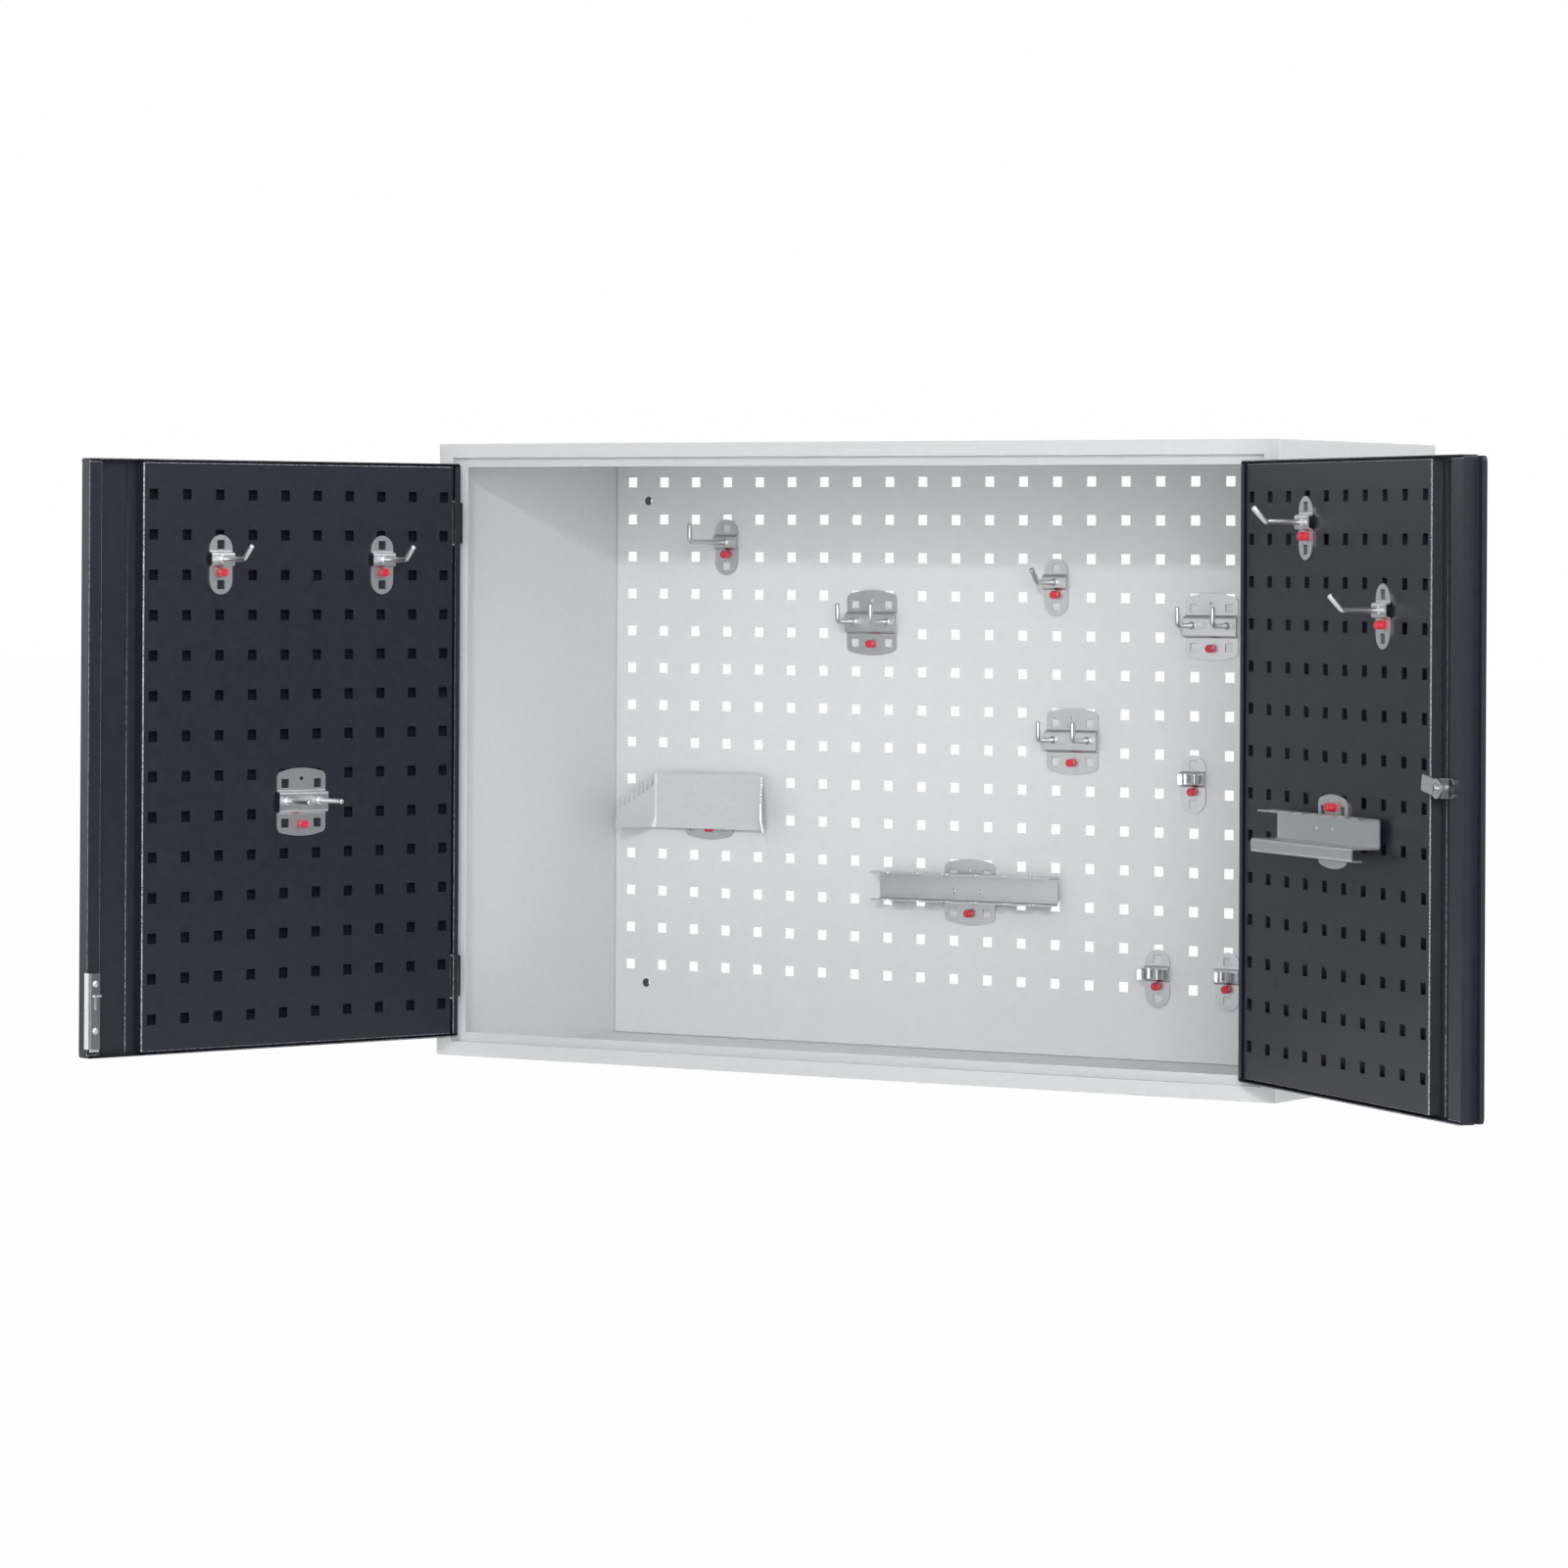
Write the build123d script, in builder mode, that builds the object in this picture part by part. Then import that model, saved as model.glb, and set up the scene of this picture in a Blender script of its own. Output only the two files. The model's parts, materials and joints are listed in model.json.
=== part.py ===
from build123d import *
import os

# Wall-hung tool cabinet: a perforated back, two perforated doors and plug-in tool holders.
# Millimetres. The wall is the plane Y = 0, the front is towards -Y and Z = 0 is mid-height.

os.makedirs("parts", exist_ok=True)

# ---- cabinet box ----
cabinet_width = 915.0
cabinet_height = 600.0
cabinet_depth = 335.0
sheet = 1.0
side_band = 15.5
end_band = 14.0
reveal_depth = 8.0
side_lip = 12.5
end_lip = 8.8
rear_flange = 8.0
outer_corner = 1.5

# ---- perforation ----
pitch = 38.0
hole_side = 10.0
grid_rows = 14
back_columns = 24
door_columns = 10
back_grid_rise = 19.0

# ---- flat sides that stand for a full circle on small pieces that repeat ----
small_sides = 10
plate_end_sides = 16

# ---- back panel and its wall fixings ----
panel_setback = 12.0
panel_gap = 0.3
wall_hole_radius = 4.5
spacer_radius = 8.0

# ---- doors ----
door_height = 560.0
door_proud = 8.0
door_side_gap = 6.0
door_meeting_gap = 3.0
door_rim_depth = 13.5
door_face_depth = 11.5
door_corner = 3.0
hinge_flange_width = 6.0
left_free_flange = 14.0
right_free_flange = 22.5
hinge_margin = 18.8
fold_margin = 11.2
fold_slope = 2.3
fold_foot = 10.0
panel_end_gap = 2.0

# ---- hinges ----
hinge_height = 222.0
hinge_axis_out = 0.5
knuckle_radius = 4.5
knuckle_length = 15.4
frame_knuckle_length = 12.0
knuckle_gap = 0.3
pin_radius = 2.0
pin_clearance = 0.05
pin_head_radius = 3.2
pin_head_height = 1.2
leaf_sheet = 1.2
frame_leaf_foot = 6.4
frame_leaf_gap = 0.3
door_leaf_start = 5.2
door_leaf_end = 12.5
notch_clearance = 0.4
notch_end_gap = 0.5

# ---- strip over the meeting edges ----
strip_lap = 8.0
strip_width = 15.0
strip_height = 558.0
strip_thickness = 4.4
strip_clearance = 0.4
strip_corner = 5.0

# ---- cam lock ----
lock_from_edge = 31.5
lock_radius = 8.7
lock_hole_clearance = 0.1
rosette_radius = 11.0
rosette_thickness = 2.0
lock_body_depth = 19.5
plug_radius = 6.0
plug_clearance = 0.05
plug_stand = 0.5
key_slot_length = 8.0
key_slot_width = 1.6
key_slot_depth = 6.0
lock_plate_start = 10.8
lock_plate_width = 10.7
lock_plate_height = 18.0
lock_plate_slot_depth = 7.7
lock_plate_slot_height = 8.0
lock_plate_sheet = 1.5
cam_thickness = 2.0
cam_reach = 27.0
cam_root_radius = 8.5
cam_width = 14.0
cam_square = 7.0
cam_square_clearance = 0.1
cam_rise_angle = 10.0
screw_radius = 5.0
screw_height = 2.5
screw_shank_radius = 2.0
screw_shank_length = 8.0
screw_clearance = 0.05

# ---- bolt on the passive door ----
bracket_bottom = 9.0
bracket_height = 71.0
bracket_width = 12.6
bracket_stand = 6.5
bracket_wrap = 2.7
bracket_sheet = 1.0
bracket_gap = 0.3
bolt_thickness = 1.5
bolt_side_gap = 0.4
bolt_cover_gap = 0.1
bolt_travel = 12.0
bolt_tip = 2.5
bolt_top = 55.0
tab_rise = 50.0
tab_width = 8.6
tab_thickness = 2.0
tab_reach = 4.0
tab_neck_width = 2.4
tab_gap = 0.3
rivet_radius = 3.5
rivet_dome = 1.8
rivet_shank_radius = 1.5
rivet_end = 10.0
rivet_rise = 17.3

# ---- plug-in holder plates ----
plate_sheet = 1.5
plate_gap = 0.25
small_width = 26.5
small_height = 56.5
small_drop = 28.1
small_band_height = 12.2
small_band_rise = 5.1
small_band_proud = 4.5
wide_width = 57.0
wide_height = 65.0
wide_drop = 27.0
wide_bow_radius = 90.0
wide_corner = 4.0
wide_band_height = 19.0
wide_band_proud = 5.0
band_slope = 1.2
window_side = 8.6
hook_lip = 4.0
hook_seat_gap = 0.2
hook_back_gap = 0.3
sight_hole_radius = 2.0
sight_hole_rise = 22.5

# ---- locking pins ----
lock_pin_radius = 4.0
lock_pin_length = 7.0
lock_pin_shank_radius = 2.2
lock_pin_clearance = 0.1
lock_pin_reach = 3.0
small_pin_rise = 2.6
wide_pin_rise = 21.2
pin_front_gap = 0.3

# ---- rods ----
rod_radius = 2.5
wide_rod_rise = 1.0
long_hook_reach = 73.0
long_hook_tip = 18.0
tilted_hook_reach = 40.0
tilted_hook_out = 12.0
tilted_hook_up = 12.4
double_hook_reach = 37.0
double_hook_tip = 17.5
straight_rod_reach = 41.0

# ---- spring clips ----
clip_sheet = 0.8
clip_height = 10.0
clip_depths = (19.0, 12.0, 10.0)
clip_half_widths = (12.0, 10.0, 8.0)
clip_base = 0.5
clip_shoulder = 0.85
clip_shoulder_place = 0.15
clip_belly_place = 0.45
clip_neck = 0.45
clip_neck_place = 0.8
clip_mouth = 0.9
clip_rivet_radius = 2.5
clip_rivet_height = 1.0

# ---- spanner holder ----
spanner_width = 127.0
spanner_height = 56.0
spanner_rise = 6.3
spanner_shift = 2.5
spanner_sheet = 1.5
cheek_angle = 30.0
cheek_length = 46.0
cheek_drop = 27.0
cheek_slots = 8
cheek_slot_spacing = 5.3
cheek_slot_width = 2.6
cheek_slot_depth = 7.0
cheek_hem_height = 12.0
cheek_hem_slope = 0.2

# ---- tool rails ----
rail_sheet = 1.5
back_rail_length = 201.0
back_rail_height = 28.5
back_rail_rise = 4.2
back_rail_shift = 1.6
back_rail_reach = 21.0
back_rail_notches = 6
back_rail_spacing = 33.0
door_rail_length = 200.0
door_rail_height = 26.6
door_rail_rise = 2.3
door_rail_shift = -2.5
door_rail_top_reach = 21.0
door_rail_bottom_reach = 26.0
door_rail_lip = 9.2
door_rail_return = 9.0
door_rail_notches = 7
door_rail_spacing = 27.0
notch_width = 9.0
notch_depth = 9.0

# ---- pose in which the part is delivered: both doors stand open ----
left_open_angle = 108.6
right_open_angle = 141.7

# ---- places worked out from the sizes above ----
opening_width = cabinet_width - 2 * side_band
opening_height = cabinet_height - 2 * end_band
lip_front = cabinet_depth - reveal_depth
wall_hole_x = pitch * (back_columns - 2) / 2
wall_hole_z = pitch * (grid_rows - 1) / 2
back_first_x = -pitch * (back_columns - 1) / 2
back_top_z = back_grid_rise + wall_hole_z
door_front = cabinet_depth + door_proud
door_edge = opening_width / 2 - door_side_gap
door_free = door_meeting_gap / 2
door_first = door_edge - hinge_margin
door_last = door_first - pitch * (door_columns - 1)
door_face = door_front - door_face_depth
door_rim = door_front - door_rim_depth
hinge_x = door_edge + hinge_axis_out
lock_x = door_free + lock_from_edge
cam_back = door_front - lock_body_depth - plug_stand


def save(name, *parts):
    """Label a finished piece, or a group of like pieces, and write its file."""
    piece = parts[0] if len(parts) == 1 else Compound(children=parts)
    piece.label = name
    export_step(piece, f"parts/{name}.step")


def save_left(name, *parts):
    """Swing pieces of the left door open about its hinge and write their file."""
    axis = Axis((-hinge_x, -door_front, 0), (0, 0, 1))
    save(name, *[part.rotate(axis, -left_open_angle) for part in parts])


def save_right(name, *parts):
    """Mirror pieces drawn on the left door to the right one, swing them open and write their file."""
    axis = Axis((hinge_x, -door_front, 0), (0, 0, 1))
    save(name, *[part.mirror(Plane.YZ).rotate(axis, right_open_angle) for part in parts])


def on_back(part, column, row, drop):
    """Hang a holder on the back panel with its upper hooks in the given row."""
    x = back_first_x + pitch * column
    return part.moved(Location((x, -panel_setback, back_top_z - pitch * row - drop)))


def on_door(part, column, row, drop):
    """Hang a holder on the shut left door, columns counted from the hinge."""
    x = pitch * column - door_first
    return part.moved(Location((x, -door_face, wall_hole_z - pitch * row - drop), (0, 0, 180)))


# ---------------------------------------------------------------- cabinet

with BuildPart() as shell:
    with BuildSketch(Plane.XZ):
        Rectangle(cabinet_width, cabinet_height)
        Rectangle(cabinet_width - 2 * sheet, cabinet_height - 2 * sheet, mode=Mode.SUBTRACT)
    extrude(amount=cabinet_depth)
    with BuildSketch(Plane.XZ.offset(cabinet_depth)):
        Rectangle(cabinet_width, cabinet_height)
        Rectangle(opening_width, opening_height, mode=Mode.SUBTRACT)
    extrude(amount=-sheet)
    with BuildSketch(Plane.XZ.offset(cabinet_depth)):
        Rectangle(opening_width + 2 * sheet, opening_height + 2 * sheet)
        Rectangle(opening_width, opening_height, mode=Mode.SUBTRACT)
    extrude(amount=-reveal_depth)
    with BuildSketch(Plane.XZ.offset(lip_front)):
        Rectangle(opening_width + 2 * sheet, opening_height + 2 * sheet)
        Rectangle(opening_width - 2 * side_lip, opening_height - 2 * end_lip, mode=Mode.SUBTRACT)
    extrude(amount=-sheet)
    with BuildSketch(Plane.XZ):
        Rectangle(cabinet_width, cabinet_height)
        Rectangle(cabinet_width - 2 * rear_flange, cabinet_height - 2 * rear_flange, mode=Mode.SUBTRACT)
    extrude(amount=sheet)
    fillet(shell.edges().filter_by(Axis.Y).group_by(SortBy.LENGTH)[-1], radius=outer_corner)
save("cabinet_shell", shell.part)

panel_width = cabinet_width - 2 * (sheet + panel_gap)
panel_height = cabinet_height - 2 * (sheet + panel_gap)
with BuildPart() as back_panel:
    with BuildSketch(Plane.XZ.offset(panel_setback)):
        Rectangle(panel_width, panel_height)
        with Locations((0, back_grid_rise)):
            with GridLocations(pitch, pitch, back_columns, grid_rows):
                Rectangle(hole_side, hole_side, mode=Mode.SUBTRACT)
        with GridLocations(2 * wall_hole_x, 2 * wall_hole_z, 2, 2):
            Circle(wall_hole_radius, mode=Mode.SUBTRACT)
    extrude(amount=-sheet)
    with BuildSketch(Plane.XZ.offset(sheet)):
        Rectangle(panel_width, panel_height)
        Rectangle(panel_width - 2 * sheet, panel_height - 2 * sheet, mode=Mode.SUBTRACT)
    extrude(amount=panel_setback - 2 * sheet)
save("back_panel", back_panel.part)

with BuildPart() as wall_spacers:
    with BuildSketch(Plane.XZ):
        with GridLocations(2 * wall_hole_x, 2 * wall_hole_z, 2, 2):
            RegularPolygon(spacer_radius, small_sides)
            Circle(wall_hole_radius, mode=Mode.SUBTRACT)
    extrude(amount=panel_setback - sheet)
save("wall_spacers", wall_spacers.part)

# ---------------------------------------------------------------- hinges, drawn at the shut left door

frame_knuckle_start = knuckle_length / 2 + knuckle_gap
frame_knuckle_end = frame_knuckle_start + frame_knuckle_length
leaf_x = -opening_width / 2 + frame_leaf_gap

with BuildPart() as frame_leaf:
    with BuildSketch(Plane.XY.offset(-frame_knuckle_end)):
        with Locations((leaf_x, -lip_front)):
            Rectangle(frame_leaf_foot, leaf_sheet, align=(Align.MIN, Align.MAX))
            Rectangle(leaf_sheet, door_front - lip_front, align=(Align.MIN, Align.MAX))
    extrude(amount=2 * frame_knuckle_end)
    for start in (-frame_knuckle_end, frame_knuckle_start):
        with BuildSketch(Plane.XY.offset(start)):
            with Locations((-hinge_x, -door_front)):
                RegularPolygon(knuckle_radius, small_sides)
        extrude(amount=frame_knuckle_length)
    with BuildSketch(Plane.XY.offset(-frame_knuckle_start)):
        with Locations((-hinge_x, -door_front)):
            RegularPolygon(knuckle_radius + knuckle_gap, small_sides, major_radius=False)
    extrude(amount=2 * frame_knuckle_start, mode=Mode.SUBTRACT)
    with BuildSketch(Plane.XY.offset(-frame_knuckle_end)):
        with Locations((-hinge_x, -door_front)):
            RegularPolygon(pin_radius + pin_clearance, small_sides, major_radius=False)
    extrude(amount=2 * frame_knuckle_end, mode=Mode.SUBTRACT)

with BuildPart() as hinge_pin:
    with BuildSketch(Plane.XY.offset(-frame_knuckle_end)):
        with Locations((-hinge_x, -door_front)):
            RegularPolygon(pin_radius, small_sides)
    extrude(amount=2 * frame_knuckle_end)
    with BuildSketch(Plane.XY.offset(frame_knuckle_end)):
        with Locations((-hinge_x, -door_front)):
            RegularPolygon(pin_head_radius, small_sides)
    extrude(amount=pin_head_height)

with BuildPart() as door_leaf:
    with BuildSketch(Plane.XY.offset(-knuckle_length / 2)):
        with Locations((-hinge_x, -door_front)):
            RegularPolygon(knuckle_radius, small_sides)
        with Locations((-door_edge, -door_front)):
            Rectangle(leaf_sheet, door_leaf_end, align=(Align.MAX, Align.MIN))
        with Locations((-hinge_x, -door_front)):
            RegularPolygon(
                pin_radius + pin_clearance, small_sides, major_radius=False, mode=Mode.SUBTRACT
            )
    extrude(amount=knuckle_length)
    with BuildSketch(Plane.XY.offset(-frame_knuckle_end)):
        with Locations((-door_edge, door_leaf_start - door_front)):
            Rectangle(leaf_sheet, door_leaf_end - door_leaf_start, align=(Align.MAX, Align.MIN))
    extrude(amount=2 * frame_knuckle_end)


def at_both_heights(part):
    """Copies of a hinge piece at the upper and the lower hinge."""
    return [part.moved(Location((0, 0, height))) for height in (hinge_height, -hinge_height)]


def on_both_sides(parts):
    """The given left pieces and their mirror images on the right."""
    return parts + [part.mirror(Plane.YZ) for part in parts]


save("hinge_frame_leaves", *on_both_sides(at_both_heights(frame_leaf.part)))
save("hinge_pins", *on_both_sides(at_both_heights(hinge_pin.part)))
save_left("left_hinge_door_leaves", *at_both_heights(door_leaf.part))
save_right("right_hinge_door_leaves", *at_both_heights(door_leaf.part))

# ---------------------------------------------------------------- doors, drawn as the left one, shut

door_width = door_edge - door_free
door_middle = -(door_edge + door_free) / 2
notch_half_width = knuckle_radius + notch_clearance - hinge_axis_out
notch_length = 2 * (frame_knuckle_end + pin_head_height + notch_end_gap)


def door_skin(free_flange, front_hole_radius):
    """Front sheet with a turned rim, return flanges, hinge notches and a hole for the lock if any."""
    with BuildPart() as skin:
        with BuildSketch(Plane.XZ.offset(door_rim)):
            with Locations((door_middle, 0)):
                RectangleRounded(door_width, door_height, door_corner)
        extrude(amount=door_rim_depth)
        with BuildSketch(Plane.XZ.offset(door_rim)):
            with Locations((door_middle, 0)):
                Rectangle(door_width - 2 * sheet, door_height - 2 * sheet)
        extrude(amount=door_rim_depth - sheet, mode=Mode.SUBTRACT)
        with BuildSketch(Plane.XZ.offset(door_rim)):
            with Locations((-door_free, 0)):
                Rectangle(free_flange, door_height - 2 * door_corner, align=(Align.MAX, Align.CENTER))
            with Locations((-door_edge, 0)):
                Rectangle(hinge_flange_width, door_height - 2 * door_corner, align=(Align.MIN, Align.CENTER))
        extrude(amount=sheet)
        for height in (hinge_height, -hinge_height):
            with BuildSketch(Plane.XY.offset(height - notch_length / 2)):
                with Locations((-door_edge, -door_front)):
                    Rectangle(notch_half_width, door_leaf_start, align=(Align.MIN, Align.MIN))
            extrude(amount=notch_length, mode=Mode.SUBTRACT)
        if front_hole_radius:
            with BuildSketch(Plane.XZ.offset(door_front)):
                with Locations((-lock_x, 0)):
                    Circle(front_hole_radius)
            extrude(amount=-sheet, mode=Mode.SUBTRACT)
    return skin.part


fold_half = door_height / 2 - sheet - panel_end_gap
fold_hinge_x = -door_first - fold_margin
fold_free_x = fold_margin - door_last
floor_y = sheet - door_front

with BuildPart() as door_panel:
    with BuildSketch(Plane.XY.offset(-fold_half)):
        with BuildLine():
            Polyline(
                (fold_hinge_x, floor_y),
                (fold_hinge_x, -door_face),
                (fold_free_x, -door_face),
                (fold_free_x + fold_slope, floor_y + sheet),
                (fold_free_x + fold_slope + fold_foot, floor_y + sheet),
            )
            offset(amount=sheet, side=Side.RIGHT)
        make_face()
    extrude(amount=2 * fold_half)
    for start in (-fold_half, fold_half - sheet):
        with BuildSketch(Plane.XY.offset(start)):
            with BuildLine():
                Polyline(
                    (fold_hinge_x, floor_y),
                    (fold_hinge_x, -door_face),
                    (fold_free_x, -door_face),
                    (fold_free_x + fold_slope, floor_y),
                    close=True,
                )
            make_face()
        extrude(amount=sheet)
    with BuildSketch(Plane.XZ.offset(door_face)):
        with Locations((-(door_first + door_last) / 2, 0)):
            with GridLocations(pitch, pitch, door_columns, grid_rows):
                Rectangle(hole_side, hole_side)
    extrude(amount=sheet, mode=Mode.SUBTRACT)

save_left("left_door_skin", door_skin(left_free_flange, 0))
save_right("right_door_skin", door_skin(right_free_flange, lock_radius + lock_hole_clearance))
save_left("left_door_panel", door_panel.part)
save_right("right_door_panel", door_panel.part)

strip_x = strip_lap - door_free
with BuildPart() as strip:
    with BuildSketch(Plane.XY.offset(-strip_height / 2)):
        with BuildLine():
            Polyline(
                (strip_x, -door_front - strip_clearance),
                (-door_free, -door_front - strip_clearance),
                (-door_free, -door_front),
                (strip_x - strip_width, -door_front),
                (strip_x - strip_width, -door_front - strip_thickness),
                (strip_x, -door_front - strip_thickness),
                close=True,
            )
        make_face()
    extrude(amount=strip_height)
    fillet(strip.edges().filter_by(Axis.Y).sort_by(SortBy.LENGTH)[-4:], radius=strip_corner)
save_right("right_door_strip", strip.part)

# ---------------------------------------------------------------- cam lock

with BuildPart() as lock_housing:
    with BuildSketch(Plane.XZ.offset(door_front - lock_body_depth)):
        with Locations((-lock_x, 0)):
            Circle(lock_radius)
    extrude(amount=lock_body_depth)
    with BuildSketch(Plane.XZ.offset(door_front)):
        with Locations((-lock_x, 0)):
            Circle(rosette_radius)
    extrude(amount=rosette_thickness)
    with BuildSketch(Plane.XZ.offset(door_front + rosette_thickness)):
        with Locations((-lock_x, 0)):
            Circle(plug_radius + plug_clearance)
    extrude(amount=-rosette_thickness - lock_body_depth, mode=Mode.SUBTRACT)
save_right("right_lock_housing", lock_housing.part)

with BuildPart() as lock_plate:
    with BuildSketch(Plane.XZ.offset(door_rim)):
        with Locations((-door_free - lock_plate_start, 0)):
            Rectangle(lock_plate_width, lock_plate_height, align=(Align.MAX, Align.CENTER))
            Rectangle(
                lock_plate_slot_depth,
                lock_plate_slot_height,
                align=(Align.MAX, Align.CENTER),
                mode=Mode.SUBTRACT,
            )
    extrude(amount=-lock_plate_sheet)
save_right("right_lock_plate", lock_plate.part)

with BuildPart() as lock_plug:
    with BuildSketch(Plane.XZ.offset(cam_back)):
        with Locations((-lock_x, 0)):
            Circle(plug_radius)
    extrude(amount=door_front + rosette_thickness + plug_stand - cam_back)
    with BuildSketch(Plane.XZ.offset(cam_back)):
        with Locations((-lock_x, 0)):
            Rectangle(cam_square, cam_square, rotation=-cam_rise_angle)
    extrude(amount=-cam_thickness)
    with BuildSketch(Plane.XZ.offset(door_front + rosette_thickness + plug_stand)):
        with Locations((-lock_x, 0)):
            Rectangle(key_slot_width, key_slot_length)
    extrude(amount=-key_slot_depth, mode=Mode.SUBTRACT)
    with BuildSketch(Plane.XZ.offset(cam_back - cam_thickness)):
        with Locations((-lock_x, 0)):
            Circle(screw_shank_radius + screw_clearance)
    extrude(amount=screw_shank_length, mode=Mode.SUBTRACT)
save_right("lock_plug", lock_plug.part)

with BuildPart() as lock_cam:
    with BuildSketch(Plane.XZ.offset(cam_back)):
        with Locations(Location((-lock_x, 0), 180 - cam_rise_angle)):
            Circle(cam_root_radius)
            Rectangle(cam_reach, cam_width, align=(Align.MIN, Align.CENTER))
            Rectangle(
                cam_square + 2 * cam_square_clearance,
                cam_square + 2 * cam_square_clearance,
                mode=Mode.SUBTRACT,
            )
    extrude(amount=-cam_thickness)
save_right("lock_cam", lock_cam.part)

with BuildPart() as cam_screw:
    with BuildSketch(Plane.XZ.offset(cam_back - cam_thickness)):
        with Locations((-lock_x, 0)):
            Circle(screw_radius)
    extrude(amount=-screw_height)
    with BuildSketch(Plane.XZ.offset(cam_back - cam_thickness)):
        with Locations((-lock_x, 0)):
            Circle(screw_shank_radius)
    extrude(amount=screw_shank_length - tab_gap)
save_right("lock_cam_screw", cam_screw.part)

# ---------------------------------------------------------------- bolt

cover = door_rim - bracket_stand
bracket_low = bracket_bottom - door_height / 2
leg_x = bracket_gap + bracket_sheet - door_free
bolt_front = cover + bracket_sheet + bolt_cover_gap
bolt_left = leg_x - bracket_width + bracket_sheet + bolt_side_gap
bolt_right = leg_x - bracket_sheet - bolt_side_gap
bolt_middle = (bolt_left + bolt_right) / 2
bolt_low = bracket_low - bolt_tip
tab_z = bracket_low + tab_rise
rivet_low_z = bracket_low + rivet_rise
rivet_high_z = bracket_low + bracket_height - rivet_end

with BuildPart() as bolt_bracket:
    with BuildSketch(Plane.XY.offset(bracket_low)):
        with BuildLine():
            Polyline(
                (leg_x, -door_rim - bracket_wrap),
                (leg_x, -cover),
                (leg_x - bracket_width, -cover),
                (leg_x - bracket_width, -door_rim),
            )
            offset(amount=bracket_sheet, side=Side.LEFT)
        make_face()
    extrude(amount=bracket_height)
    with BuildSketch(Plane.XZ.offset(cover)):
        with Locations((bolt_middle, tab_z)):
            Rectangle(tab_width + 2 * tab_gap, tab_thickness + 2 * tab_gap)
        with Locations((bolt_middle, tab_z + tab_thickness / 2 + tab_gap)):
            Rectangle(
                tab_neck_width + 2 * tab_gap,
                bolt_travel + tab_thickness + 2 * tab_gap,
                align=(Align.CENTER, Align.MAX),
            )
        with Locations((bolt_middle, rivet_low_z), (bolt_middle, rivet_high_z)):
            RegularPolygon(rivet_shank_radius, small_sides)
    extrude(amount=bracket_sheet, mode=Mode.SUBTRACT)
save_left("left_bolt_bracket", bolt_bracket.part)

with BuildPart() as bolt_rivets:
    for height in (rivet_low_z, rivet_high_z):
        with BuildSketch(Plane.XZ.offset(door_rim)):
            with Locations((bolt_middle, height)):
                RegularPolygon(rivet_shank_radius, small_sides)
        extrude(amount=cover - door_rim)
        with BuildSketch(Plane.XZ.offset(cover)):
            with Locations((bolt_middle, height)):
                RegularPolygon(rivet_radius, small_sides)
        extrude(amount=-rivet_dome)
save_left("left_bolt_rivets", bolt_rivets.part)

with BuildPart() as sliding_bolt:
    with BuildSketch(Plane.XZ.offset(bolt_front)):
        with Locations((bolt_middle, bolt_low)):
            Rectangle(bolt_right - bolt_left, bolt_top, align=(Align.CENTER, Align.MIN))
        with Locations((bolt_middle, rivet_low_z + bolt_travel / 2)):
            SlotCenterToCenter(
                bolt_travel + 2 * tab_gap,
                2 * (rivet_shank_radius + tab_gap),
                rotation=90,
                mode=Mode.SUBTRACT,
            )
    extrude(amount=bolt_thickness)
    with BuildSketch(Plane.XZ.offset(bolt_front)):
        with Locations((bolt_middle, tab_z)):
            Rectangle(tab_neck_width, tab_thickness)
    extrude(amount=-bracket_sheet - bolt_cover_gap - tab_gap)
    with BuildSketch(Plane.XZ.offset(cover - tab_gap)):
        with Locations((bolt_middle, tab_z)):
            Rectangle(tab_width, tab_thickness)
    extrude(amount=-tab_reach)
save_left("sliding_bolt", sliding_bolt.part)

# ---------------------------------------------------------------- holder plates
# Holders are drawn on a panel lying in XZ with its face at Y = 0; their plates are centred on Z = 0.

plate_front = plate_gap + plate_sheet
panel_back = sheet + hook_back_gap


def holder_plate(outline, height, drop, band, hook_columns, pin, sight_hole=None):
    """Hanging plate: bulged sheet cut to an outline, with windows, hooks and a hole for its pin."""
    band_height, band_rise, band_proud = band
    window_top = drop - hole_side / 2 + hook_seat_gap
    low = band_rise - band_height / 2
    high = band_rise + band_height / 2
    with BuildPart() as plate:
        with BuildSketch(Plane.YZ):
            with BuildLine():
                Polyline(
                    (-plate_gap, -height / 2),
                    (-plate_gap, low),
                    (-plate_gap - band_proud, low + band_slope),
                    (-plate_gap - band_proud, high - band_slope),
                    (-plate_gap, high),
                    (-plate_gap, height / 2),
                )
                offset(amount=plate_sheet, side=Side.LEFT)
            make_face()
        extrude(amount=height, both=True)
        extrude(outline, amount=height, both=True, mode=Mode.INTERSECT)
        with BuildSketch(Plane.XZ):
            for column in hook_columns:
                with Locations((column, window_top), (column, window_top - pitch)):
                    Rectangle(window_side, window_side, align=(Align.CENTER, Align.MAX))
            with Locations(pin):
                RegularPolygon(
                    lock_pin_shank_radius + lock_pin_clearance, small_sides, major_radius=False
                )
            if sight_hole:
                with Locations(sight_hole):
                    RegularPolygon(sight_hole_radius, small_sides)
        extrude(amount=plate_front + band_proud, mode=Mode.SUBTRACT)
        for column in hook_columns:
            with BuildSketch(Plane.YZ.offset(column)):
                for top in (window_top, window_top - pitch):
                    with Locations((-plate_front, top)):
                        Rectangle(
                            plate_front + panel_back + plate_sheet,
                            plate_sheet,
                            align=(Align.MIN, Align.MIN),
                        )
                    with Locations((panel_back, top + plate_sheet)):
                        Rectangle(plate_sheet, hook_lip + plate_sheet, align=(Align.MIN, Align.MAX))
            extrude(amount=window_side / 2, both=True)
    return plate.part


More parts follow.
